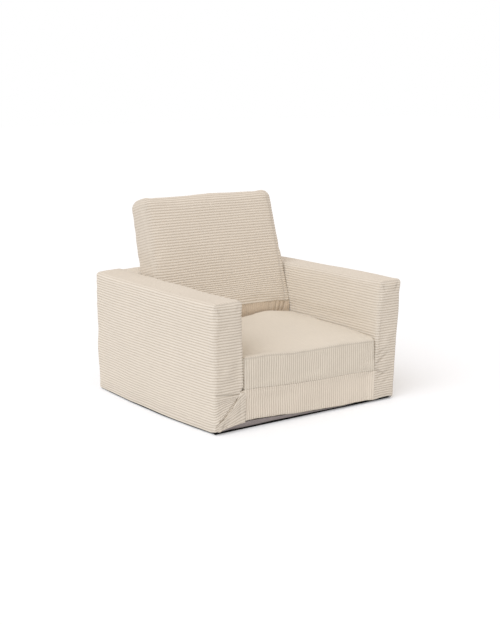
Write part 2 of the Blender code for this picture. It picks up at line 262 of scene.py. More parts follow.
def pileGroup():
    # ribbed pile: crest and groove across the ribs with painted shade in the grooves, nap patches,
    # fine tufts, rubbed edges, and painted shade at seams and in hollows
    look = pileLook
    numbers = ("Groove Shade", "Rib Width", "Nap", "Smooth", "Seam", "Hollow", "Edge")
    group, given = newGroup("ribbedPile", "Cloth", *numbers)
    operations = ("MULTIPLY", "SUBTRACT", "MULTIPLY_ADD")
    times, minus, timesPlus = (partial(calc, group, operation) for operation in operations)
    parts = wire(group, "ShaderNodeSeparateXYZ", {0: given["Cloth"]}).outputs
    along, across = parts[0], parts[1]
    crest = calc(group, "ABSOLUTE", calc(group, "SINE", times(across, math.pi)))
    crest = calc(group, "POWER", crest, look["ribRoundness"])
    groove = minus(1.0, crest)
    flat = joined(group, along, times(across, given["Rib Width"]))
    nap = noise(group, flat, look["napScale"], 3.0)
    tufts = noise(group, flat, look["tuftScale"])
    alongScale, acrossScale = look["streakScales"]
    streaks = noise(group, joined(group, times(along, alongScale), times(across, acrossScale)), 1.0)
    rub = times(given["Edge"], nap)
    # where the ribs are pressed flat, crest and groove meet at the cloth's mean shade
    ribbed = minus(1.0, calc(group, "MAXIMUM", given["Seam"], given["Smooth"]))
    shade = timesPlus(minus(groove, look["meanGroove"]), ribbed, look["meanGroove"])
    light = times(centred(group, nap, given["Nap"]), centred(group, tufts, look["tufts"]))
    light = times(light, centred(group, streaks, look["streaks"]))
    # painted shade at the seams and in the hollows, a painted highlight where the hollow mask is
    # negative, and darker rubbed edges from wear
    for mask, amount in zip((given["Seam"], given["Hollow"], rub), look["dulling"]):
        light = times(light, timesPlus(mask, amount, 1.0))
    # the grooves are painted darker and browner than the crests: painted shade in the grooves
    grooveShadeAmount = scale(group, look["browning"], times(shade, given["Groove Shade"]))
    mix = partial(wire, group, "ShaderNodeVectorMath")
    kept = mix({0: (1.0, 1.0, 1.0), 1: grooveShadeAmount}, operation="SUBTRACT").outputs[0]
    shadedInGrooves = mix({0: given["Colour"], 1: kept}, operation="MULTIPLY").outputs[0]
    rough = timesPlus(groove, look["grooveRoughness"], look["roughness"])
    results = {
        "Colour": scale(group, shadedInGrooves, light),
        "Height": timesPlus(tufts, look["tuftHeight"], times(crest, look["ribHeight"])),
        "Roughness": minus(rough, times(rub, look["rubPolish"])),
    }
    wire(group, "NodeGroupOutput", results)
    return group


def weaveGroup():
    # plain weave: threads over and under both ways, with slubs
    look = weaveLook
    group, given = newGroup("plainWeave", "Place", "Threads", "Wear")
    times = partial(calc, group, "MULTIPLY")
    threads = scale(group, given["Place"], given["Threads"])
    parts = wire(group, "ShaderNodeSeparateXYZ", {0: threads}).outputs
    warp = calc(group, "SINE", parts[0])
    weft = calc(group, "SINE", calc(group, "ADD", parts[1], parts[2]))
    knit = calc(group, "MULTIPLY_ADD", times(warp, weft), 0.5, 0.5)
    slubs = noise(group, given["Place"], look["slubScale"], 3.0)
    soil = noise(group, given["Place"], look["soilScale"], 4.0)
    light = times(centred(group, knit, look["threads"]), centred(group, slubs, look["slubs"]))
    light = times(light, centred(group, soil, given["Wear"]))
    rough = calc(group, "MULTIPLY_ADD", slubs, look["slubRoughness"], look["roughness"])
    shade = scale(group, given["Colour"], light)
    wire(group, "NodeGroupOutput", {"Colour": shade, "Height": knit, "Roughness": rough})
    return group


ribbedPile = pileGroup()
plainWeave = weaveGroup()


def newFinish(name, sheen=0.0, metallic=0.0):
    finish = bpy.data.materials.new(name)
    finish.use_nodes = True
    shader = finish.node_tree.nodes["Principled BSDF"].inputs
    settings = {
        "Sheen Weight": sheen,
        "Sheen Roughness": 0.45,
        "Metallic": metallic,
        "Specular IOR Level": 0.25,
    }
    for socketName, value in settings.items():
        shader[socketName].default_value = value
    return finish, finish.node_tree, shader


def dress(tree, shader, colour, roughness, height, relief):
    inputs = {"Height": height, "Strength": relief[0], "Distance": relief[1]}
    bump = wire(tree, "ShaderNodeBump", inputs)
    tree.links.new(colour, shader["Base Color"])
    tree.links.new(roughness, shader["Roughness"])
    tree.links.new(bump.outputs[0], shader["Normal"])


def readMask(tree, mask):
    return wire(tree, "ShaderNodeAttribute", attribute_name=mask).outputs["Fac"]


def ribbedFinish(name, colour, grooveShade, ribWidth, nap=0.05):
    finish, tree, shader = newFinish(name, sheen=pileLook["sheen"])
    inputs = {
        "Cloth": wire(tree, "ShaderNodeUVMap", uv_map="Cloth").outputs[0],
        "Colour": colour,
        "Groove Shade": grooveShade,
        "Rib Width": ribWidth,
        "Nap": nap,
    }
    for mask in ("smooth", "seam", "hollow", "edge"):
        inputs[mask.capitalize()] = readMask(tree, mask)
    pile = wire(tree, "ShaderNodeGroup", inputs, node_tree=ribbedPile).outputs
    dress(tree, shader, pile["Colour"], pile["Roughness"], pile["Height"], pileLook["relief"])
    return finish


def wovenFinish(name, colour, threads, wear, paintedContactShadow=0.0):
    finish, tree, shader = newFinish(name, sheen=0.0 if paintedContactShadow else weaveLook["sheen"])
    inputs = {
        "Place": wire(tree, "ShaderNodeTexCoord").outputs["Object"],
        "Colour": colour,
        "Threads": threads,
        "Wear": wear,
    }
    weave = wire(tree, "ShaderNodeGroup", inputs, node_tree=plainWeave).outputs
    shade = weave["Colour"]
    if paintedContactShadow:
        # painted dark where it lies on the floor: a painted contact shadow, with its gloss taken
        # away there
        kept = calc(tree, "MULTIPLY_ADD", readMask(tree, "hollow"), -paintedContactShadow, 1.0)
        shade = scale(tree, shade, kept)
        gloss = calc(tree, "MULTIPLY", kept, weaveLook["floorGloss"])
        tree.links.new(gloss, shader["Specular IOR Level"])
    dress(tree, shader, shade, weave["Roughness"], weave["Height"], weaveLook["relief"])
    return finish


def sliderFinish(colour):
    # cast metal with fine scratches and a little dulling
    look = metalLook
    finish, tree, shader = newFinish("sliderMetal", metallic=1.0)
    place = wire(tree, "ShaderNodeTexCoord").outputs["Object"]
    stretch = {"Vector": place, "Scale": look["scratchScales"]}
    scratches = noise(tree, wire(tree, "ShaderNodeMapping", stretch).outputs[0], 1.0)
    dulling = noise(tree, place, look["dullScale"], 3.0)
    bright = centred(tree, scratches, look["scratches"])
    light = calc(tree, "MULTIPLY", bright, centred(tree, dulling, look["dulling"]))
    shade = scale(tree, colour, light)
    rough = calc(tree, "MULTIPLY_ADD", dulling, look["dullRoughness"], look["roughness"])
    dress(tree, shader, shade, rough, scratches, look["relief"])
    return finish


def coilFinish(colour):
    # moulded plastic teeth with a faint grain
    look = plasticLook
    finish, tree, shader = newFinish("zipCoil")
    place = wire(tree, "ShaderNodeTexCoord").outputs["Object"]
    grain = noise(tree, place, look["grainScale"])
    shade = scale(tree, colour, centred(tree, grain, look["grain"]))
    rough = calc(tree, "MULTIPLY_ADD", grain, look["grainRoughness"], look["roughness"])
    dress(tree, shader, shade, rough, grain, look["relief"])
    return finish


finishes = {
    "cream": ribbedFinish("creamCorduroy", (0.765, 0.704, 0.612, 1.0), 0.31, 0.0066),
    # the cream corduroy painted a little lighter: painted light
    "base": ribbedFinish("baseCorduroy", (0.812, 0.742, 0.640, 1.0), 0.30, 0.0067),
    "back": ribbedFinish("backrestCorduroy", (0.765, 0.700, 0.606, 1.0), 0.31, 0.0068),
    # the cream corduroy painted a little lighter: painted light
    "seat": ribbedFinish("seatCorduroy", (0.780, 0.722, 0.624, 1.0), 0.32, 0.0064),
    # the cream corduroy painted darker and browner: painted shade under the backrest
    "strip": ribbedFinish("stripCorduroy", (0.655, 0.548, 0.425, 1.0), 0.14, 0.0066, nap=0.12),
    "lining": wovenFinish("greyLining", (0.345, 0.306, 0.300, 1.0), 2600.0, 0.25, paintedContactShadow=0.99),
    "tape": wovenFinish("creamTape", (0.62, 0.55, 0.45, 1.0), 5200.0, 0.1),
    "coil": coilFinish((0.70, 0.63, 0.52)),
    "slider": sliderFinish((0.55, 0.53, 0.48)),
}
print("finishes made")

# padded blocks: a cube cut into a fine lattice, rounded, puffed, sewn and ribbed
onSideFrom = 0.999
samplesPerRib = 6
ribRoundness, ribMean = 0.72, 0.62
seamWidth, drawnWidth, edgeReach = 0.0018, 0.0020, 0.006
puckerLength, puckerFrom, puckerReach = 0.022, 0.003, 0.012
wanderStretch, wanderLength, wanderFrom = (1.0, 1.0, 2.2), 0.16, 0.02
rippleWaves, waveSpread = 9, (0.6, 1.7)
crowding = (0.9, 0.1)

plainBlock = {
    "seams": [],
    "bands": [],
    "square": None,
    "endRounding": None,
    "puff": None,
    "still": {},
    "calm": None,
    "press": None,
    "sideStrength": {},
    "wander": 0.0009,
    "pucker": 0.0007,
    "seamDepth": 0.0012,
    "finish": "cream",
}

thinSheet = {"pucker": 0.0, "seamDepth": 0.0}

clothSettings = {
    "quality": 5,
    "mass": 0.25,
    "tension_stiffness": 18,
    "compression_stiffness": 18,
    "shear_stiffness": 8,
    "bending_stiffness": 1.2,
    "use_pressure": True,
    "vertex_group_mass": "held",
}
puffSteps = 14


def readVectors(items, what):
    values = np.empty(len(items) * 3, np.float32)
    items.foreach_get(what, values)
    return values.reshape(-1, 3).astype(float)


def readPoints(mesh):
    return readVectors(mesh.vertices, "co")


def readNormals(mesh):
    return readVectors(mesh.vertex_normals, "vector")


def writePoints(mesh, points):
    mesh.vertices.foreach_set("co", points.astype(np.float32).ravel())
    mesh.update()


def push(points, normals, amount):
    points += normals * amount[:, None]


def easeIn(value):
    value = np.clip(value, 0.0, 1.0)
    return value * value * (3 - 2 * value)


def above(value, start, width):
    # 0 up to the start, then easing to 1 over the width
    return easeIn((value - start) / width)


def below(value, start, width):
    # 0 down to the start, then easing to 1 over the width
    return easeIn((start - value) / width)


def bell(value):
    return np.exp(-(value ** 2))


def ripple(points, waveLength, seed, height):
    # smooth unevenness up to about the height, the same each run
    draw = np.random.default_rng(seed)
    total = np.zeros(len(points))
    for _ in range(rippleWaves):
        direction = draw.normal(size=points.shape[1])
        direction /= np.linalg.norm(direction)
        length = waveLength * draw.uniform(*waveSpread)
        total += np.sin(points @ direction * (2 * math.pi / length) + draw.uniform(0, 2 * math.pi))
    return total / math.sqrt(rippleWaves) * 0.7 * height


def cutLattice(name, cells):
    # the cube's surface cut into even cells, from -1 to 1 each way
    bm = bmesh.new()
    bmesh.ops.create_cube(bm, size=2)
    for axis, count in enumerate(cells):
        along = [e for e in bm.edges if abs(e.verts[0].co[axis] - e.verts[1].co[axis]) > 0.5]
        if count > 1:
            bmesh.ops.subdivide_edges(bm, edges=along, cuts=count - 1, use_grid_fill=True)
    mesh = meshFrom(bm, name)
    return mesh, readPoints(mesh)


def crowdEdges(lattice, axes):
    # gives the roundings more of the cells on the axes that no rib is counted on
    for axis in axes:
        even = lattice[:, axis]
        lattice[:, axis] = crowding[0] * np.sin(even * math.pi / 2) + crowding[1] * even


def roundBlock(lattice, half, radius):
    # lattice places to a block with rounded edges, spaced evenly over flats and roundings
    half = np.asarray(half, float)
    radius = np.broadcast_to(np.asarray(radius, float).reshape(-1, 1), (len(lattice), 1))
    flat = half - radius
    reach = flat + radius * quarter
    run = lattice * reach
    lean = np.clip((np.abs(run) - flat) / radius, 0.0, quarter)
    outward = np.tan(lean) * np.sign(run)
    outward /= np.linalg.norm(outward, axis=1, keepdims=True)
    return np.clip(run, -flat, flat) + radius * outward, run, reach


def puffedOffsets(lattice, half, radius, puff):
    # inflates a coarse closed cover of the block with Cloth, held at its corners
    mesh, coarse = cutLattice("puffing", puff["cells"])
    rest, _, _ = roundBlock(coarse, half, radius)
    writePoints(mesh, rest)
    cover = addObject("puffing", mesh)
    held = np.flatnonzero((np.abs(coarse) > onSideFrom).all(axis=1))
    cover.vertex_groups.new(name="held").add([int(i) for i in held], 1.0, "REPLACE")
    cloth = cover.modifiers.new("Cloth", "CLOTH")
    swelling = {"uniform_pressure_force": puff["pressure"], "shrink_min": -puff["spare"]}
    for setting, value in (clothSettings | swelling).items():
        setattr(cloth.settings, setting, value)
    cloth.settings.effector_weights.gravity = 0
    cloth.collision_settings.use_collision = False
    for step in range(1, puffSteps + 1):
        scene.frame_set(step)
    depsgraph = bpy.context.evaluated_depsgraph_get()
    moved = readPoints(cover.evaluated_get(depsgraph).data) - rest
    scene.frame_set(1)
    bpy.data.objects.remove(cover)
    bpy.data.meshes.remove(mesh)
    moved *= puff["cap"] / (puff["cap"] + np.linalg.norm(moved, axis=1, keepdims=True))
    return spreadOffsets(coarse, puff["cells"], moved, lattice)


def cubicWeights(share):
    return (
        ((-share + 2) * share - 1) * share / 2,
        ((3 * share - 5) * share * share + 2) / 2,
        ((-3 * share + 4) * share + 1) * share / 2,
        (share - 1) * share * share / 2,
    )


def spreadOffsets(coarse, cells, moved, fine):
    # carries the coarse cover's offsets to the fine lattice, side by side
    result = np.zeros((len(fine), 3))
    done = np.zeros(len(fine), bool)
    for axis in range(3):
        others = [k for k in range(3) if k != axis]
        counts = np.array([cells[k] for k in others])
        for side in (-1, 1):
            mine = np.abs(coarse[:, axis] - side) < 0.001
            at = np.rint((coarse[mine][:, others] + 1) / 2 * counts).astype(int)
            grid = np.zeros((counts[0] + 1, counts[1] + 1, 3))
            grid[at[:, 0], at[:, 1]] = moved[mine]
            wanted = (np.abs(fine[:, axis] - side) < 0.001) & ~done
            place = (fine[wanted][:, others] + 1) / 2 * counts
            cell = np.clip(np.floor(place).astype(int), 0, counts - 1)
            first, second = (cubicWeights(share) for share in (place - cell).T)
            total = np.zeros((len(place), 3))
            for i in range(4):
                row = np.clip(cell[:, 0] + i - 1, 0, counts[0])
                for j in range(4):
                    column = np.clip(cell[:, 1] + j - 1, 0, counts[1])
                    total += (first[i] * second[j])[:, None] * grid[row, column]
            result[wanted] = total
            done |= wanted
    return result


def toSide(run, reach, side):
    # distance over the surface to the border of a side such as "x-"
    axis, sign = axisOf[side[0]], 1 if side[1] == "+" else -1
    return reach[:, axis] - sign * run[:, axis]


def borderOf(side):
    return [(side, other + sign) for other in "xyz" if other != side[0] for sign in "-+"]


def seamDistance(block, run, reach):
    # distance to the nearest seam; a band is a seam set in from the edge on its first side
    away = np.ones(len(run))
    for first, second in block["seams"]:
        away = np.minimum(away, toSide(run, reach, first) + toSide(run, reach, second))
    for first, second, inset in block["bands"]:
        inward = toSide(run, reach, first)
        inward = (inward + toSide(run, reach, second)) * np.where(inward < 0.00001, 1, -1)
        away = np.minimum(away, np.abs(inward - inset))
    return away


squareEdge = {
    "radius": 0.0012,
    "level": (-0.30, 0.12),
    "side": (0.1, 0.8),
    "front": (-0.6, 0.3),
    "ends": (0.92, 0.06),
}


def edgeRadius(block, lattice):
    x, y, z = lattice.T
    foot = block.get("footRounding", block["rounding"])
    radius = foot + (block["rounding"] - foot) * easeIn(z * 0.5 + 0.5)
    if block["square"]:
        # squarer low down on one side, where a neighbour lies flush with its front
        level = below(z, *squareEdge["level"]) * above(x * block["square"], *squareEdge["side"])
        radius += (squareEdge["radius"] - radius) * level * below(y, *squareEdge["front"])
    if block["endRounding"]:
        # squarer where the block's ends lie against the arms
        radius += (block["endRounding"] - radius) * above(np.abs(x), *squareEdge["ends"])
    return radius


def swellBlock(block, points, lattice, half):
    swell = puffedOffsets(lattice, half, block["rounding"], block["puff"])
    # flat where it lies on its neighbour, underneath or in front
    for axis, still in block["still"].items():
        swell *= easeIn((points[:, axisOf[axis]] + half[axisOf[axis]]) / still)[:, None]
    if block["calm"]:
        swell *= block["calm"](points[:, 2], lattice)[:, None]
    points += swell


def ribRise(block, lattice, onSide, ribCounts):
    # the ribs' height over the mean surface, and how far each place's ribs are flattened
    rise, smooth = np.zeros(len(lattice)), np.zeros(len(lattice))
    strength = block["sideStrength"]
    for sideAxis, countAxis in block["ribs"].items():
        side, count = axisOf[sideAxis], axisOf[countAxis]
        mine = onSide[:, side]
        index = (lattice[mine, count] + 1) / 2 * ribCounts[count]
        crest = np.abs(np.sin(math.pi * index)) ** ribRoundness
        minus, plus = (strength.get(sideAxis + sign, 1.0) for sign in "-+")
        share = np.where(lattice[mine, side] > 0, plus, minus)
        rise[mine] += (crest - ribMean) * share * block["ribHeight"] * (rise[mine] == 0)
        smooth[mine] = np.maximum(smooth[mine], 1 - share)
    return rise, smooth


def paddedBlock(name, block, place, shape):
    # ribs: for each side's axis, the axis that its ribs are counted on
    block = plainBlock | block
    half = np.array(block["half"])
    pitch = np.broadcast_to(block["pitch"], 3)
    counted = {axisOf[axis] for axis in block["ribs"].values()}
    cells, ribCounts = list(block["coarse"]), [0, 0, 0]
    for axis in counted:
        reachAcross = half[axis] - block["rounding"] + block["rounding"] * quarter
        ribCounts[axis] = max(2, round(2 * reachAcross / pitch[axis]))
        cells[axis] = samplesPerRib * ribCounts[axis]
    mesh, lattice = cutLattice(name, cells)
    crowdEdges(lattice, {0, 1, 2} - counted)
    points, run, reach = roundBlock(lattice, half, edgeRadius(block, lattice))
    if block["puff"]:
        swellBlock(block, points, lattice, half)
    away = seamDistance(block, run, reach)
    edgeAway = np.sort(reach - np.abs(run), axis=1)[:, 1]
    onSide = np.abs(lattice) > onSideFrom

    # ribs wander a little along their length
    wander = ripple(points * wanderStretch, wanderLength, block["seed"], block["wander"])
    wander *= easeIn(edgeAway / wanderFrom)
    for sideAxis, countAxis in block["ribs"].items():
        mine = onSide[:, axisOf[sideAxis]]
        points[mine, axisOf[countAxis]] += wander[mine]

    # seams draw in, with small puckers beside them
    writePoints(mesh, points)
    draw = ripple(points, puckerLength, block["seed"] + 5, block["pucker"])
    draw *= np.exp(-away / puckerReach) * easeIn(away / puckerFrom)
    push(points, readNormals(mesh), draw - block["seamDepth"] * bell(away / drawnWidth))

    points = place(points, half)
    writePoints(mesh, points)
    # each shape returns how much painted shade each place gets, and a negative value is a painted
    # highlight
    hollow = shape(points, readNormals(mesh), lattice)
    writePoints(mesh, points)

    rise, smooth = ribRise(block, lattice, onSide, ribCounts)
    if block["press"]:
        pressed = block["press"](points)
        rise *= 1 - pressed
        smooth = np.maximum(smooth, pressed)
    push(points, readNormals(mesh), rise * (1 - bell(away / seamWidth)))
    writePoints(mesh, points)

    layCloth(mesh, lattice, run, block["ribs"], ribCounts)
    # seam and hollow carry painted shade into the finish, and a negative hollow is a painted
    # highlight
    masks = {
        "seam": bell(away / seamWidth),
        "smooth": smooth,
        "hollow": np.clip(hollow, -1, 1),
        "edge": np.exp(-edgeAway / edgeReach),
    }
    for mask, values in masks.items():
        layer = mesh.attributes.new(mask, "FLOAT", "POINT")
        layer.data.foreach_set("value", values.astype(np.float32))
    print(name, "made:", len(mesh.polygons))
    return finishPiece(name, mesh, finishes[block["finish"]])


def layCloth(mesh, lattice, run, ribs, ribCounts):
    # the Cloth map: metres along the ribs, and ribs counted across them
    signShift, axisShift = 7.31, 3.17
    loops = np.empty(len(mesh.loops), np.int32)
    mesh.loops.foreach_get("vertex_index", loops)
    quads = loops.reshape(-1, 4)
    corners = lattice[quads]
    flat = (np.abs(corners) > onSideFrom).all(axis=1) & (np.ptp(corners, axis=1) < 0.0001)
    side = np.argmax(flat, axis=1)
    cloth = np.zeros((len(quads), 4, 2))
    for sideAxis, countAxis in ribs.items():
        a, c = axisOf[sideAxis], axisOf[countAxis]
        mine = side == a
        shift = np.sign(corners[mine][:, 0, a])[:, None] * signShift + a * axisShift
        cloth[mine, :, 0] = run[quads[mine], 3 - a - c] + shift
        cloth[mine, :, 1] = (corners[mine][:, :, c] + 1) / 2 * ribCounts[c]
    layer = mesh.uv_layers.new(name="Cloth")
    layer.data.foreach_set("uv", cloth.astype(np.float32).ravel())


def finishPiece(name, mesh, finish):
    mesh.name = name
    mesh.shade_smooth()
    mesh.materials.append(finish)
    return addObject(name, mesh)


def settle(piece, body, slotName, *nodes, fill=None):
    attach(piece, body)
    if nodes:
        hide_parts(*nodes)


creaseEnds = {"least": 0.35, "more": 0.65, "from": 0.12, "to": 0.88}


def creases(face, folds):
    # 1 on each line from start to end, fading over its width and towards its ends
    inner = (creaseEnds["from"], creaseEnds["to"])
    total = np.zeros(len(face))
    for start, end, width, strength in folds:
        start, end = np.array(start), np.array(end)
        line = end - start
        share = np.clip(((face - start) @ line) / (line @ line), 0, 1)
        gap = np.linalg.norm(face - (start + share[:, None] * line), axis=1)
        ends = creaseEnds["least"] + creaseEnds["more"] * np.sin(math.pi * np.clip(share, *inner))
        total += bell(gap / width) * ends * strength
    return total


# the arms
arms = {
    "depth": 0.528,
    "top": 0.3030,
    "foot": 0.0018,
    "halfThickness": 0.036,
    "stations": (-0.264, -0.232, -0.170, -0.050, 0.100, 0.264),
    "frontY": (-0.2480, 0.010),
    "lowUnder": 0.08,
    "calmSide": (0.6, 0.35),
    "calmHeight": (0.190, 0.030),
    "left": {
        "lean": 1.0,
        "innerFoot": (-0.1902, -0.1935, -0.1962, -0.1968, -0.1968, -0.1968),
        "innerTop": (-0.1958, -0.1995, -0.2022, -0.2025, -0.2020, -0.2015),
        "outerFoot": (-0.2690, -0.2715, -0.2770, -0.2820, -0.2800, -0.2710),
        "outerTop": (-0.2745, -0.2755, -0.2770, -0.2780, -0.2775, -0.2755),
        "outerBulge": -0.0028,
        "innerRise": (0.0, 0.0010, 0.0026, 0.0040, 0.0064, 0.0030),
        "rise": (0.0008, 0.0009, 0.0014, 0.0024, 0.0036, 0.0044),
        "ripple": (0.11, 31, 0.0011),
        "liftY": (-0.235, 0.020),
        "pitch": 0.00652,
        "innerRibs": 1.0,
        "square": None,
        "seed": 11,
    },
    "right": {
        "lean": 1.9,
        "innerFoot": (0.2072, 0.2066, 0.2058, 0.2032, 0.1955, 0.1940),
        "innerTop": (0.2258, 0.2255, 0.2242, 0.2200, 0.2078, 0.2040),
        "outerFoot": (0.2735, 0.2737, 0.2740, 0.2735, 0.2720, 0.2705),
        "outerTop": (0.2955, 0.2965, 0.2965, 0.2940, 0.2840, 0.2780),
        "outerBulge": 0.0,
        "innerRise": (0.0, 0.0, 0.0, 0.0, 0.0, 0.0),
        "rise": (0.0008, 0.0008, 0.0020, 0.0044, 0.0056, 0.0050),
        "ripple": (0.12, 47, 0.0011),
        "lift": 0.0052,
        "liftX": (0.2790, 0.020),
        "liftY": (-0.225, 0.030),
        "pitch": 0.00640,
        "innerRibs": 0.80,
        "innerShade": 0.14,
        "innerReach": 0.12,
        "square": -1,
        "seed": 12,
        "foldDepth": -0.0032,
        "foldShade": 0.45,
        "folds": (
            ((0.2120, 0.0960), (0.2480, 0.1180), 0.0035, 1.0),
            ((0.2150, 0.1180), (0.2440, 0.1350), 0.0040, 0.6),
            ((0.2130, 0.0830), (0.2380, 0.0690), 0.0035, 0.9),
            ((0.2200, 0.0600), (0.2580, 0.0780), 0.0040, 0.6),
            ((0.2300, 0.0420), (0.2600, 0.0560), 0.0040, 0.4),
            ((0.2820, 0.2960), (0.2700, 0.2760), 0.0040, 0.8),
            ((0.2300, 0.2990), (0.2380, 0.2820), 0.0040, 0.6),
        ),
    },
}
armMiddle = (arms["top"] + arms["foot"]) / 2


def alongArm(side, what, y):
    return np.interp(y, arms["stations"], arms[side][what])


def innerFace(side, y, z):
    share = np.clip(z / arms["top"], 0, 2) ** arms[side]["lean"]
    return alongArm(side, "innerFoot", y) * (1 - share) + alongArm(side, "innerTop", y) * share


def outerFace(side, y, z):
    share = z / arms["top"]
    bulge = arms[side]["outerBulge"] * np.sin(math.pi * np.clip(share, 0, 1))
    foot, top = alongArm(side, "outerFoot", y), alongArm(side, "outerTop", y)
    return foot * (1 - share) + top * share + bulge


def placeArm(side, points, half):
    placed = points.copy()
    height, y = points[:, 2] + armMiddle, points[:, 1]
    inward = (points[:, 0] / half[0] + 1) / 2
    if side == "right":
        inward = 1 - inward
    inner, outer = innerFace(side, y, height), outerFace(side, y, height)
    placed[:, 0] = outer + (inner - outer) * inward
    level = easeIn(height / arms["top"])
    placed[:, 2] = height + alongArm(side, "rise", y) * level
    placed[:, 2] += alongArm(side, "innerRise", y) * inward * level ** 3
    return placed


between = {
    "baseTop": 0.0900,
    "sideGap": 0.0002,
    "hingeTilt": 0.0050,
    "tiltOver": 0.2,
    "hingeY": (-0.10, 0.15),
    "calmY": (-0.205, 0.020),
    "calmOff": (0.006, 0.016),
    "hingeSag": (
        (-0.148, -0.113, -0.078, -0.042, -0.006, 0.022, 0.050, 0.088, 0.127, 0.166, 0.186, 0.210),
        (0, 0.0022, 0.0030, 0.0042, 0.0043, 0.0048, 0.0046, 0.0036, 0.0029, 0.0033, 0.0043, 0.0048),
    ),
    "apronLift": (
        (-0.274, -0.262, -0.250, -0.228, -0.204, -0.179, -0.148)
        + (-0.100, -0.050, 0.000, 0.033, 0.077, 0.128, 0.210),
        (0.0000, 0.0070, 0.0118, 0.0152, 0.0174, 0.0183, 0.0178)
        + (0.0156, 0.0132, 0.0100, 0.0086, 0.0070, 0.0050, 0.0040),
    ),
}


def frontLift(x):
    # how high the cloth's edge hangs above the floor along the front
    return np.interp(x, *between["apronLift"])


def calmArm(side, fromMiddle, height, lattice):
    # 0 low on the inner side, where the base and the seat fit closely
    inner = 1 if side == "left" else -1
    start, width = arms["calmHeight"]
    near = above(lattice[:, 0] * inner, *arms["calmSide"])
    return 1 - near * (1 - above(height, start - fromMiddle, width))


corner = {
    "foldX": (-0.2690, -0.2690, -0.2598, -0.2521, -0.2443, -0.2365)
    + (-0.2288, -0.2194, -0.2100, -0.2022, -0.1965),
    "foldZ": (0.0060, 0.0200, 0.0276, 0.0310, 0.0357, 0.0442)
    + (0.0515, 0.0590, 0.0748, 0.0868, 0.0945),
    "knot": (-0.1960, 0.0960),
    "knotReach": 0.0055,
    "creaseLeft": (-0.2690, 0.0928),
    "creaseRight": (-0.2040, 0.0877),
    "creaseWidth": 0.0020,
    "tip": (-0.2740, -0.2635, 0.2935),
    "tipReach": 0.0038,
    "sink": 0.0034,
    "tilt": 0.23,
    "tiltFrom": -0.2700,
    "tiltFade": 0.030,
    "foldLean": 0.75,
    "foldWidth": 0.0018,
    "sinkEdge": (0.001, 0.003),
    "swellReach": (0.004, 0.018),
    "dimples": (
        ((-0.262, 0.070), (-0.226, 0.079), 0.006, 0.5),
        ((-0.268, 0.044), (-0.246, 0.056), 0.005, 0.5),
    ),
    "puckers": (
        ((-0.268, 0.296), (-0.256, 0.272), 0.004, 1.0),
        ((-0.206, 0.298), (-0.216, 0.280), 0.004, 0.7),
    ),
    # how far each mark goes in or out, and how much painted shade it gets in its dent
    "marks": {
        "line": (-0.0026, 0.85),
        "knot": (-0.0030, 0.9),
        "dimples": (-0.0016, 0.35),
        "puckers": (-0.0012, 0.2),
        "tip": (-0.0016, 0.8),
        "swell": (0.0012, 0.0),
    },
    "half": (0.0370, 0.0008, 0.0430),
    "front": -0.2639,
    "slack": 0.0035,
    "ribSlant": 2.4,
    "outerEdge": -0.2640,
    "innerEdge": -0.1898,
    "hem": 0.0015,
    "hemPower": 6,
    "tuckOuter": (0.0016, 0.12),
    "tuckTop": (0.0012, 0.9, 0.1),
    "tuckLeft": (0.0026, -0.2560, 0.010),
    "foldDepth": 0.0014,
    "foldShade": 0.4,
    "ripple": (0.045, 131, 0.0005),
    "folds": (
        ((-0.2560, 0.0050), (-0.2480, 0.0230), 0.0030, 1.0),
        ((-0.2460, 0.0090), (-0.2340, 0.0300), 0.0030, 0.8),
        ((-0.2160, 0.0240), (-0.2060, 0.0600), 0.0040, 0.4),
        ((-0.2600, 0.0160), (-0.2440, 0.0200), 0.0024, 0.9),
        ((-0.2520, 0.0200), (-0.2380, 0.0340), 0.0028, 0.6),
        ((-0.2040, 0.0190), (-0.2035, 0.0800), 0.0020, 0.8),
    ),
}


def shapeLeftArm(points, normals, lattice):
    # the cloth's end is folded in like a parcel's at the arm's lower front
    x, y, z = points.T
    left, right, knot = corner["creaseLeft"], corner["creaseRight"], corner["knot"]
    front = below(y, *arms["frontY"])
    face = points[:, [0, 2]]
    creaseLevel = np.interp(x, *zip(left, right, knot))
    fade = corner["tiltFade"]
    under = below(z, creaseLevel, fade) * front * easeIn(z / fade)
    z += (x - corner["tiltFrom"]) * corner["tilt"] * under
    depth = creaseLevel - z
    width, (swellStart, swellEnd) = corner["creaseWidth"], corner["swellReach"]
    amounts = {
        "line": creases(face, ((left, right, width, 1.0), (right, knot, width, 1.0))) * front,
        "knot": bell(np.linalg.norm(face - knot, axis=1) / corner["knotReach"]) * front,
        "dimples": creases(face, corner["dimples"]) * front,
        "puckers": creases(face, corner["puckers"]) * front,
        "tip": bell(np.linalg.norm(points - corner["tip"], axis=1) / corner["tipReach"]),
        "swell": easeIn(depth / swellStart) * np.exp(-np.clip(depth, 0, 1) / swellEnd) * front,
    }
    shift, hollow = (
        sum(amounts[mark] * values[k] for mark, values in corner["marks"].items()) for k in (0, 1)
    )
    push(points, normals, shift)
    # right of the fold the arm lies back, and the corner cloth covers it
    beyond = face[:, 0] - np.interp(face[:, 1], corner["foldZ"], corner["foldX"])
    beyond = easeIn(beyond * corner["foldLean"] / corner["foldWidth"] + 0.5) * front
    edge, width = corner["sinkEdge"]
    y += corner["sink"] * beyond * below(z, creaseLevel - edge, width)
    lift = frontLift(x) * below(y, *arms["left"]["liftY"])
    z += lift * np.clip(1 - z / arms["lowUnder"], 0, 1)
    calm = calmArm("left", 0.0, z, lattice)
    push(points, normals, ripple(points, *arms["left"]["ripple"]) * calm)
    return hollow


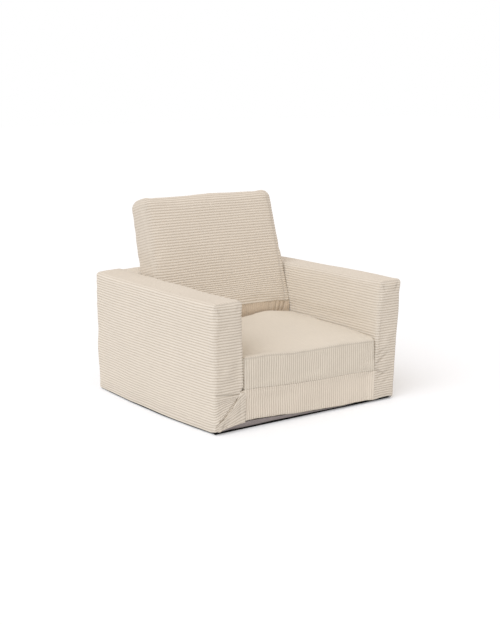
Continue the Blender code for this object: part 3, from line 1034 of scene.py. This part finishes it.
def placeCorner(points, half):
    # the corner cloth: a three-sided piece between the folded edge, the foot and the inner edge
    u = (points[:, 0] / half[0] + 1) / 2
    w = (points[:, 2] / half[2] + 1) / 2
    steps = np.linspace(0, 1, len(corner["foldX"]))
    low = np.clip(w, 0, 1) ** corner["ribSlant"]
    startX = np.interp(low, steps, corner["foldX"]) - corner["slack"]
    startX = np.maximum(startX, corner["outerEdge"])
    startZ = np.interp(low, steps, corner["foldZ"])
    endX = corner["innerEdge"]
    endZ = frontLift(endX) + (corner["knot"][1] - frontLift(endX)) * w
    x = startX + (endX - startX) * u
    straight = startZ + (endZ - startZ) * u
    z = straight + (frontLift(x) + corner["hem"] - straight) * (1 - w) ** corner["hemPower"]
    outer, top, left = corner["tuckOuter"], corner["tuckTop"], corner["tuckLeft"]
    tuck = outer[0] * (1 - easeIn(u / outer[1])) + top[0] * above(w, *top[1:])
    tuck += left[0] * below(x, *left[1:])
    return np.stack([x, corner["front"] + half[1] + points[:, 1] + tuck, z], axis=1)


def shapeCorner(points, normals, lattice):
    face = points[:, [0, 2]]
    folds = creases(face, corner["folds"])
    points[:, 1] += corner["foldDepth"] * folds + ripple(face, *corner["ripple"])
    # painted shade in the folds
    return corner["foldShade"] * folds


def buildCorner():
    block = {
        "half": corner["half"],
        "rounding": 0.0006,
        "ribs": {"y": "z"},
        "pitch": 0.0078,
        "coarse": (34, 2, 8),
        "ribHeight": 0.0007,
        "wander": 0.0004,
        "seed": 81,
    }
    cloth = paddedBlock("corner_cloth_left", thinSheet | block, placeCorner, shapeCorner)
    settle(cloth, "frame", "corduroy")


def shapeRightArm(points, normals, lattice):
    arm, (x, y, z) = arms["right"], points.T
    depth = creases(points[:, [0, 2]], arm["folds"]) * below(y, *arms["frontY"])
    push(points, normals, arm["foldDepth"] * depth)
    # its front edge hangs clear of the floor as well
    lift = arm["lift"] * below(x, *arm["liftX"]) * below(y, *arm["liftY"])
    z += lift * np.clip(1 - z / arms["lowUnder"], 0, 1)
    calm = calmArm("right", 0.0, z, lattice)
    push(points, normals, ripple(points, *arm["ripple"]) * calm)
    inside = 1 - above(lattice[:, 0], -1, arm["innerReach"])
    # painted shade in the folds, and over the inner face beside the seat
    return arm["foldShade"] * depth + arm["innerShade"] * inside


def buildArms():
    height = arms["top"] - arms["foot"]
    for side, shape in (("left", shapeLeftArm), ("right", shapeRightArm)):
        block = {
            "half": (arms["halfThickness"], arms["depth"] / 2, height / 2),
            "rounding": 0.0098,
            "footRounding": 0.0060,
            "square": arms[side]["square"],
            "calm": partial(calmArm, side, armMiddle),
            "ribs": {"x": "z", "y": "z", "z": "x"},
            "pitch": arms[side]["pitch"],
            "coarse": (38, 62, 40),
            "seams": [("y-", "z+")] + borderOf("y+"),
            "ribHeight": 0.00110,
            "sideStrength": {"z+": 0.35, "z-": 0.2, "x-": arms[side]["innerRibs"]},
            "seamDepth": 0.0007,
            "seed": arms[side]["seed"],
            "puff": {"cells": (7, 44, 26), "pressure": 1.6, "spare": 0.012, "cap": 0.0028},
            "still": {"z": 0.030},
        }
        arm = paddedBlock(f"arm_{side}", block, partial(placeArm, side), shape)
        settle(arm, "frame", "corduroy", f"arm_cover_{side}", f"arm_foam_{side}", fill=0.9)


buildArms()
buildCorner()


# the blocks between the arms
def acrossFrame(share, y, z, gap=between["sideGap"]):
    # share 0 at the left arm's inner face and 1 at the right arm's
    left, right = innerFace("left", y, z) + gap, innerFace("right", y, z) - gap
    return left + (right - left) * share


def placeBetween(centre, points, half):
    placed = points + centre
    placed[:, 0] = acrossFrame((points[:, 0] / half[0] + 1) / 2, placed[:, 1], placed[:, 2])
    return placed


def calmHinge(points):
    # 0 near the front hinge, where the seat and the base meet evenly
    off = above(np.abs(points[:, 2] - between["baseTop"]), *between["calmOff"])
    return 1 - below(points[:, 1], *between["calmY"]) * (1 - off)


def hingeSlope(x, y):
    # the seam in front runs a little down to the right, and sags
    tilt = -between["hingeTilt"] * x / between["tiltOver"]
    level = tilt - np.interp(x, *between["hingeSag"])
    return level * below(y, *between["hingeY"])


zipBed = {"depth": 0.0012, "endRoom": 0.005, "endWidth": 0.006, "shade": 0.15}


def bedLength(points, tape):
    # 1 along a zip's tape, fading out past its ends
    return below(np.abs(points[:, 0]), tape[1].x + zipBed["endRoom"], zipBed["endWidth"])


def sinkBed(points, bed, tape):
    # the zip lies in a shallow bed in the rear, which is painted darker: painted shade
    level = np.minimum(points[:, 1], tape[0].y - zipBed["depth"])
    points[:, 1] += (level - points[:, 1]) * bed
    return bed * zipBed["shade"]


base = {
    "liftY": (-0.235, 0.025),
    "rise": 0.0010,
    "riseY": (-0.236, 0.012),
    "bowY": (-0.250, 0.010),
    "bowRipple": (0.09, 61, 0.0009),
    "bow": -0.0016,
    "bowWave": (0.0008, 14),
    "bowEnd": (0.88, 0.10),
    "ripple": (0.14, 62, 0.0008),
    "rippleEnds": (0.96, 0.04),
    "sewn": 0.0014,
    "sewnX": (0.985, 0.010),
    "sewnY": (-0.2622, 0.0008),
    "pressed": 0.34,
    "pressedX": (0.020, 0.120),
    "pressedY": (-0.245, 0.010),
    "pressedShade": -0.36,
}


def pressBase(points):
    # the ribs are pressed flatter towards the right, and painted lighter there: a painted highlight
    x, y, _ = points.T
    return base["pressed"] * above(x, *base["pressedX"]) * below(y, *base["pressedY"])


def shapeBase(points, normals, lattice):
    (x, y, z), u = points.T, lattice[:, 0]
    lift = frontLift(x) * below(y, *base["liftY"])
    share = z / between["baseTop"]
    z += lift * (1 - share)
    z += hingeSlope(x, y) * share
    # the top sixth stands a little higher in front
    z += base["rise"] * below(y, *base["riseY"]) * easeIn(share * 6 - 5)
    front = below(y, *base["bowY"])
    waveHeight, waves = base["bowWave"]
    bow = ripple(points[:, [0, 2]], *base["bowRipple"]) + base["bow"]
    bow += waveHeight * np.cos(x * waves)
    calm = calmHinge(points)
    push(points, normals, bow * (1 - above(u, *base["bowEnd"])) * front * calm)
    calm *= 1 - above(np.abs(u), *base["rippleEnds"])
    push(points, normals, ripple(points, *base["ripple"]) * calm)
    # the front is sewn onto the right arm's edge
    x += base["sewn"] * above(u, *base["sewnX"]) * below(y, *base["sewnY"])
    # painted lighter where the ribs are pressed: a painted highlight
    return base["pressedShade"] * pressBase(points)


ledge = {"ripple": (0.10, 81, 0.0010)}


def shapeLedge(points, normals, lattice):
    push(points, normals, ripple(points, *ledge["ripple"]))
    return np.zeros(len(points))


wall = {
    "rise": 0.0060,
    "riseZ": (0.25, 0.05),
    "riseX": 0.21,
    "riseFall": 0.4,
    "ripple": (0.12, 71, 0.0012),
    "bedZ": (0.0045, 0.003),
    "bedY": (0.2450, 0.008),
}


def shapeWall(points, normals, lattice):
    x, y, z = points.T
    ends = (x / wall["riseX"]) ** 6 * wall["riseFall"]
    z += wall["rise"] * above(z, *wall["riseZ"]) * (1 - ends)
    push(points, normals, ripple(points, *wall["ripple"]))
    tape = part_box("frame_zip_tape")
    room, width = wall["bedZ"]
    bed = below(z, tape[1].z + room, width) * above(y, *wall["bedY"])
    return sinkBed(points, bed * bedLength(points, tape), tape)


uprightBlock = {
    "rounding": 0.0004,
    "footRounding": 0.0010,
    "ribs": {"y": "x", "z": "x"},
    "pitch": 0.00672,
}
betweenBlocks = {
    "base": uprightBlock
    | {
        "coarse": (8, 26, 16),
        "seams": [("y-", "z-")],
        "press": pressBase,
        "finish": "base",
    },
    "ledge": uprightBlock | {"coarse": (8, 12, 12), "seams": [("y-", "z+")]},
    "back_wall": {
        "rounding": 0.0060,
        "footRounding": 0.0050,
        "endRounding": 0.0015,
        "ribs": {"x": "z", "y": "z", "z": "y"},
        "pitch": 0.0067,
        "coarse": (44, 12, 12),
        "seams": borderOf("y+") + borderOf("y-"),
        "puff": {"cells": (28, 9, 22), "pressure": 1.4, "spare": 0.012, "cap": 0.0026},
        "still": {"z": 0.030},
    },
}


def buildBetween():
    shapes = {"base": shapeBase, "ledge": shapeLedge, "back_wall": shapeWall}
    for number, (name, block) in enumerate(betweenBlocks.items()):
        low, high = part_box(f"{name}_cover")
        common = {
            "half": tuple((high - low) / 2),
            "ribHeight": 0.00110,
            "sideStrength": {"z-": 0.1},
            "seed": 20 + number,
        }
        place = partial(placeBetween, np.array((high + low) / 2))
        piece = paddedBlock(name, common | block, place, shapes[name])
        settle(piece, "frame", "corduroy", f"{name}_cover", f"{name}_foam", fill=0.9)


buildBetween()

# the seat cushion
seat = {
    "half": (0.2010, 0.1650, 0.0385),
    "frontY": -0.2637,
    "bottom": 0.0921,
    "drop": 0.0008,
    "dropY": (-0.236, 0.012),
    "stations": (-0.2637, -0.2320, -0.1700, -0.1140, -0.0520, 0.0120, 0.0664),
    "leftEdge": (0.1730, 0.1705, 0.1705, 0.1720, 0.1740, 0.1745, 0.1730),
    "rightEdge": (0.1605, 0.1680, 0.1725, 0.1755, 0.1775, 0.1805, 0.1825),
    "crown": (0.0000, 0.0035, 0.0070, 0.0084, 0.0088, 0.0072, 0.0050),
    "crownPower": 2.6,
    "gap": 0.0004,
    "frontEdge": (
        (-1.0, -0.67, -0.49, -0.30, -0.17, -0.04, 0.20, 0.48, 0.90),
        (0.0008, 0.0028, 0.0014, -0.0016, -0.0010, -0.0004, 0.0008, 0.0022, 0.0010),
    ),
    "frontEdgeY": (-0.232, 0.030),
    "upperZ": (0.150, 0.012),
    # a dip at the left front and a lobe at the right rear: place, reach and height
    "mounds": (
        ((-0.150, -0.224), (0.078, 0.024), -0.0042),
        ((0.112, 0.060), (0.045, 0.080), 0.0066),
    ),
    "bowY": (-0.250, 0.010),
    "bowRipple": (0.085, 91, 0.0010),
    "bow": -0.0010,
    "ripple": (0.13, 92, 0.0009),
    "bedZ": (0.004, 0.003),
    "bedY": (0.0520, 0.006),
    "keep": 0.91,
}


def spline(x, stations, values):
    # a smooth curve through the values
    stations, values = np.array(stations), np.array(values)
    slopes = np.gradient(values, stations)
    x = np.clip(x, stations[0], stations[-1])
    k = np.clip(np.searchsorted(stations, x) - 1, 0, len(stations) - 2)
    length = stations[k + 1] - stations[k]
    t = (x - stations[k]) / length
    held = values[k] * (1 + 2 * t) * (1 - t) ** 2 + values[k + 1] * t * t * (3 - 2 * t)
    return held + length * (slopes[k] * t * (1 - t) ** 2 - slopes[k + 1] * t * t * (1 - t))


def seatTop(u, y):
    rows = (spline(y, seat["stations"], seat[row]) for row in ("leftEdge", "rightEdge", "crown"))
    left, right, crown = rows
    edge = spline(u, *seat["frontEdge"]) * below(y, *seat["frontEdgeY"])
    crown = crown * (1 - np.abs(np.clip(u, -1, 1)) ** seat["crownPower"])
    return left + (right - left) * (u + 1) / 2 + crown + edge


def placeSeat(points, half):
    u, w = points[:, 0] / half[0], (points[:, 2] / half[2] + 1) / 2
    y = points[:, 1] + seat["frontY"] + half[1]
    share, gap = (u + 1) / 2, seat["gap"]
    bottom = seat["bottom"] + hingeSlope(acrossFrame(share, y, between["baseTop"], gap), y)
    bottom -= seat["drop"] * below(y, *seat["dropY"])
    z = bottom + (seatTop(u, y) - bottom) * w
    return np.stack([acrossFrame(share, y, z, gap), y, z], axis=1)


def shapeSeat(points, normals, lattice):
    _, y, z = points.T
    upper = above(z, *seat["upperZ"])
    for at, reach, height in seat["mounds"]:
        off = (points[:, :2] - at) / reach
        z += height * np.exp(-(off ** 2).sum(axis=1)) * upper
    front = below(y, *seat["bowY"])
    bow = ripple(points[:, [0, 2]], *seat["bowRipple"]) + seat["bow"]
    calm = calmHinge(points)
    push(points, normals, bow * front * calm)
    push(points, normals, ripple(points, *seat["ripple"]) * calm)
    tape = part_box("seat_zip_tape")
    middle, reach = (tape[0].z + tape[1].z) / 2, (tape[1].z - tape[0].z) / 2
    room, width = seat["bedZ"]
    bed = below(np.abs(z - middle), reach + room, width) * above(y, *seat["bedY"])
    return sinkBed(points, bed * bedLength(points, tape), tape)


def buildSeat():
    block = {
        "half": seat["half"],
        "rounding": 0.0080,
        "footRounding": 0.0004,
        "ribs": {"x": "z", "y": "x", "z": "x"},
        "pitch": (0.0064, 0.0065, 0.0065),
        "coarse": (8, 50, 12),
        "seams": [("y-", "x-"), ("y-", "x+"), ("y+", "z+"), ("x-", "z+"), ("x+", "z+")],
        "bands": [("y-", "z+", 0.0042)],
        "seamDepth": 0.0006,
        "ribHeight": 0.00110,
        "sideStrength": {"z+": 0.08},
        "seed": 41,
        "finish": "seat",
        "puff": {"cells": (32, 28, 8), "pressure": 2.2, "spare": 0.010, "cap": 0.0030},
        "still": {"z": 0.030, "y": 0.080},
    }
    cushion = paddedBlock("seat_cushion", block, placeSeat, shapeSeat)
    settle(cushion, "seat", "corduroy", "seat_cover", "seat_foam", fill=0.85)
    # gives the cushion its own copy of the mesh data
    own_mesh(cushion)


buildSeat()

# the backrest
backrest = {
    "half": (0.1990, 0.0362, 0.1574),
    "lean": math.radians(15.8),
    "toe": (0.0641, 0.19665),
    "crown": 0.0060,
    "lowCrown": (0.75, 0.3),
    "rearCrown": 0.0020,
    "bulge": 0.0042,
    "bulgeFrom": -0.1,
    "rightFill": 0.0010,
    "fillSide": (0.5, 0.5),
    "fillBelow": 0.4,
    "topArch": 0.0005,
    "topRise": 0.0018,
    "topTilt": 0.0008,
    "frontLift": 0.0128,
    "arch": 0.0032,
    "liftDepth": 0.0190,
    "liftSlope": (1.6, 0.5),
    "cornerRadius": 0.0065,
    "ripple": (0.13, 101, 0.0013),
    "bedY": (0.016, 0.003),
    "bedZ": (-0.012, 0.006),
    "leftEnd": (-0.10, 0.45),
    "leftEndShade": 0.30,
    "keep": 0.976,
}
leanSine, leanCosine = math.sin(backrest["lean"]), math.cos(backrest["lean"])


def backrestLift(u):
    # how far the lower front edge is rounded up over the strip
    return backrest["frontLift"] + backrest["arch"] * (1 - np.clip(u, -1, 1) ** 2)


def roundCorners(first, second, halfFirst, halfSecond, radius):
    # softens the corners that a cushion has when it is seen from the front
    a = np.abs(first) - (halfFirst - radius)
    b = np.abs(second) - (halfSecond - radius)
    inside = (a > 0) & (b > 0)
    scaled = np.where(inside, np.maximum(a, b) / np.maximum(np.hypot(a, b), 1e-9), 1.0)
    newFirst = np.where(inside, np.sign(first) * (halfFirst - radius + a * scaled), first)
    newSecond = np.where(inside, np.sign(second) * (halfSecond - radius + b * scaled), second)
    return newFirst, newSecond


def placeBackrest(points, half):
    radius = backrest["cornerRadius"]
    x, z = roundCorners(points[:, 0], np.maximum(points[:, 2], 0), half[0], half[2], radius)
    z = np.where(points[:, 2] > 0, z, points[:, 2])
    u, v = x / half[0], z / half[2]
    dome = (1 - np.abs(np.clip(u, -1, 1)) ** 3) * (1 - np.abs(np.clip(v, -1, 1)) ** 3)
    depth = points[:, 1] + half[1]
    share = np.clip(depth / (2 * half[1]), 0, 1)
    # flatter low down in front, where it comes to lie on the seat's crown
    less, level = backrest["lowCrown"]
    front = backrest["crown"] * (1 - less * easeIn(level - v))
    depth = depth - front * dome * (1 - share) + backrest["rearCrown"] * dome * share
    x = x + backrest["bulge"] * u * (1 - np.abs(v - backrest["bulgeFrom"]) ** 3)
    fill = above(u, *backrest["fillSide"]) * easeIn(backrest["fillBelow"] - v)
    x = x + backrest["rightFill"] * fill
    rise = z + half[2] + backrest["topArch"] * v * (1 - u ** 2) * (v > 0)
    rise = rise + (backrest["topRise"] - backrest["topTilt"] * u) * easeIn(v)
    steep, start = backrest["liftSlope"]
    lifted = easeIn(-v * steep - start) * easeIn(1 - depth / backrest["liftDepth"])
    rise = rise + backrestLift(u) * lifted
    toeY, toeZ = backrest["toe"]
    y = toeY + rise * leanSine + depth * leanCosine
    return np.stack([x, y, toeZ + rise * leanCosine - depth * leanSine], axis=1)


def shapeBackrest(points, normals, lattice):
    push(points, normals, ripple(points, *backrest["ripple"]))
    # the zip lies in a shallow bed in the underside, which is painted darker: painted shade
    down = np.array((0.0, -leanSine, -leanCosine))
    across = np.array((0.0, leanCosine, -leanSine))
    fromToe = points - (0.0, *backrest["toe"])
    under, depth = fromToe @ down, fromToe @ across
    bed = below(np.abs(depth - backrest["half"][1]), *backrest["bedY"])
    bed *= bedLength(points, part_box("backrest_zip_tape")) * above(under, *backrest["bedZ"])
    points -= down * (np.maximum(under + zipBed["depth"], 0) * bed)[:, None]
    # the left end, which faces the light from the left, is painted darker: painted shade
    leftEnd = below(normals[:, 0], *backrest["leftEnd"])
    return bed * zipBed["shade"] + leftEnd * backrest["leftEndShade"]


def buildBackrest():
    half = backrest["half"]
    block = {
        "half": half,
        "rounding": 0.0190,
        "footRounding": 0.0035,
        "ribs": {"x": "z", "y": "z", "z": "y"},
        "pitch": (0.0068, 0.0068, 0.00683),
        "coarse": (46, 12, 12),
        "seams": [("y+", "x-"), ("y+", "x+"), ("y+", "z+"), ("y+", "z-")],
        "bands": [("y-", "x+", 0.0135)],
        "ribHeight": 0.00100,
        "sideStrength": {"x-": 0.6},
        "seed": 51,
        "finish": "back",
        "puff": {"cells": (30, 7, 24), "pressure": 2.0, "spare": 0.010, "cap": 0.0032},
    }
    cushion = paddedBlock("backrest_cushion", block, placeBackrest, shapeBackrest)
    settle(cushion, "backrest", "corduroy", "backrest_cover", "backrest_foam", fill=0.85)
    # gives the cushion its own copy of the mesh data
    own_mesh(cushion)


buildBackrest()

# the strip that the backrest hangs on
strip = {
    "halfHeight": 0.0215,
    "flatHeight": 0.0580,
    "bottom": 0.1595,
    "tuckedIn": 0.0045,
    "bendFrom": 0.1900,
    "bendTo": 0.2040,
    "side": 0.0020,
    "sideEase": 0.0010,
    "y": 0.0662,
    "hollow": 0.0015,
    "topSlope": 0.32,
    "thickness": 0.0022,
    "ripple": (0.05, 111, 0.0006),
    "foldDepth": 0.0026,
    "shade": 0.12,
    "foldShade": 0.5,
    "lowZ": (0.176, 0.034),
    "lowShade": 0.42,
    "shadeAcross": 1.3,
    "folds": (
        ((0.176, 0.184), (0.190, 0.213), 0.0030, 1.0),
        ((0.163, 0.184), (0.175, 0.214), 0.0030, 1.0),
        ((0.150, 0.185), (0.160, 0.214), 0.0034, 0.8),
        ((0.132, 0.187), (0.138, 0.214), 0.0050, 0.4),
        ((-0.186, 0.183), (-0.178, 0.210), 0.0035, 1.0),
        ((-0.168, 0.182), (-0.158, 0.211), 0.0040, 0.7),
        ((-0.040, 0.184), (-0.020, 0.212), 0.0080, 0.4),
        ((0.060, 0.187), (0.050, 0.212), 0.0080, 0.4),
    ),
}


def placeStrip(points, half):
    u, w = points[:, 0] / half[0], (points[:, 2] / half[2] + 1) / 2
    toeZ = backrest["toe"][1]
    top = toeZ + backrestLift(u) + strip["tuckedIn"]
    z = strip["bottom"] + (top - strip["bottom"]) * w
    y = strip["y"] + points[:, 1] + strip["hollow"] * np.sin(math.pi * np.clip(w, 0, 1))
    y += np.clip(z - toeZ, 0, None) * strip["topSlope"]
    x = acrossFrame((u + 1) / 2, y, z) - strip["sideEase"] * u
    return np.stack([x, y, z], axis=1)


def shapeStrip(points, normals, lattice):
    face = points[:, [0, 2]]
    depth = creases(face, strip["folds"])
    points[:, 1] += strip["foldDepth"] * depth + ripple(face, *strip["ripple"])
    # painted shade over the whole strip, deeper in its folds, and more low down and to the left
    low = 1 - above(points[:, 2], *strip["lowZ"])
    shade = strip["shade"] + strip["foldShade"] * depth
    return shade + low * (strip["lowShade"] - strip["shadeAcross"] * points[:, 0])


def buildStrip():
    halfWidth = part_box("backrest_gusset")[1].x - strip["side"]
    block = {
        "half": (halfWidth, strip["thickness"] / 2, strip["halfHeight"]),
        "rounding": 0.0009,
        "ribs": {"y": "x"},
        "pitch": 0.0066,
        "coarse": (8, 2, 22),
        "ribHeight": 0.00045,
        "wander": 0.0006,
        "seed": 61,
        "finish": "strip",
    }
    cloth = paddedBlock("backrest_strip", thinSheet | block, placeStrip, shapeStrip)
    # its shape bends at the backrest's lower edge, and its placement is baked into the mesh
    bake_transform(cloth)
    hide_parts("backrest_gusset")


buildStrip()

# the lining under the chair
lining = {
    "rear": 0.2600,
    "front": -0.2515,
    "lip": 0.0270,
    "rise": 0.0016,
    "reach": 0.0098,
    "turn": 0.002,
    "thickness": 0.0010,
    "margin": 0.0022,
    "sideRise": 0.0022,
    "sideFrom": (0.97, 0.03),
    # how high the painted contact shadow reaches up the rim, and its fade
    "hem": (0.0060, 0.0012),
    "ripple": (0.035, 121, 0.0005),
    "lipY": (-0.2560, 0.004),
    "lipFoot": 0.004,
    "rimFront": (-0.238, 0.010),
    "rimRear": (0.246, 0.010),
    "rimSide": (0.95, 0.03),
}


def placeLining(points, half):
    y = points[:, 1] + (lining["rear"] + lining["front"] - lining["lip"]) / 2
    turned = np.clip(lining["front"] - y, 0, None)
    height = (frontLift(points[:, 0]) + lining["rise"]) * turned / lining["lip"]
    over = points[:, 2] + half[2]
    share = easeIn(turned / lining["turn"])
    u = points[:, 0] / half[0]
    left, right = -alongArm("left", "outerFoot", y), alongArm("right", "outerFoot", y)
    x = u * (np.where(u < 0, left, right) - lining["margin"])
    z = over * (1 - share) + height
    z += lining["sideRise"] * above(np.abs(u), *lining["sideFrom"]) * (1 - share)
    y = np.maximum(y, lining["front"]) - lining["reach"] * turned / lining["lip"] + over * share
    return np.stack([x, y, z], axis=1)


def shapeLining(points, normals, lattice):
    _, y, z = points.T
    lip = below(y, *lining["lipY"]) * easeIn(z / lining["lipFoot"])
    y += ripple(points[:, [0, 2]], *lining["ripple"]) * lip
    # painted dark along the rim, where it lies on the floor: a painted contact shadow
    rim = np.maximum(below(y, *lining["rimFront"]), above(y, *lining["rimRear"]))
    rim = np.maximum(rim, above(np.abs(lattice[:, 0]), *lining["rimSide"]))
    return (1 - above(z, *lining["hem"])) * rim


def buildLining():
    low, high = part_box("bottom_lining")
    length = lining["rear"] - lining["front"] + lining["lip"]
    half = ((high.x - low.x) / 2, length / 2, lining["thickness"] / 2)
    block = {
        "half": half,
        "rounding": 0.0004,
        "ribs": {},
        "pitch": 0.0066,
        "coarse": (120, 90, 2),
        "ribHeight": 0.0,
        "wander": 0.0,
        "seed": 71,
        "finish": "lining",
    }
    name = "bottom_lining_cloth"
    cloth = paddedBlock(name, thinSheet | block, placeLining, shapeLining)
    settle(cloth, "frame", "lining", "bottom_lining")


buildLining()

# zip teeth
teeth = {"pitch": 0.0015, "length": 0.44, "across": 0.66, "offset": 0.30}


def buildCoil(part, wide):
    # a closed zip: teeth from one side and the other in turn
    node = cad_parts[f"{part}_zip_coil"]
    points = np.array([node.matrix_world @ vertex.co for vertex in node.data.vertices])
    along, wide = Vector((1, 0, 0)), Vector(wide)
    axes = np.array((along, wide, along.cross(wide)))
    placed = points @ axes.T
    low, high = placed.min(axis=0), placed.max(axis=0)
    middle, reach = (low + high) / 2, (high - low) / 2
    count = int((high[0] - low[0]) / teeth["pitch"])
    step = (high[0] - low[0]) / count
    size = np.array((step * teeth["length"], reach[1] * teeth["across"], reach[2]))
    turn = Matrix((size * axes.T)).to_4x4()
    bm = bmesh.new()
    for tooth in range(count):
        side = reach[1] * teeth["offset"] * (1 if tooth % 2 else -1)
        at = np.array((low[0] + step * (tooth + 0.5), middle[1] + side, middle[2])) @ axes
        place = Matrix.Translation(at) @ turn
        bmesh.ops.create_icosphere(bm, subdivisions=1, radius=1, matrix=place)
    name = f"{part}_zip_teeth"
    piece = finishPiece(name, meshFrom(bm, name), finishes["coil"])
    settle(piece, part, "coil", f"{part}_zip_coil")


buildCoil("frame", (0, 0, 1))
buildCoil("seat", (0, 0, 1))
buildCoil("backrest", (0, leanCosine, -leanSine))
print("zip teeth made")

# finishes of the tapes and sliders, which are the solids themselves
ownFinishes = {"base_hinge_tape": "tape", "seat_hinge_tape": "tape"}
for part in ("frame", "seat", "backrest"):
    ownFinishes |= {f"{part}_zip_tape": "tape", f"{part}_zip_slider": "slider"}
for name, finish in ownFinishes.items():
    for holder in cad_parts[name].material_slots:
        holder.material = finishes[finish]
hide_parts("seat_front_welt")
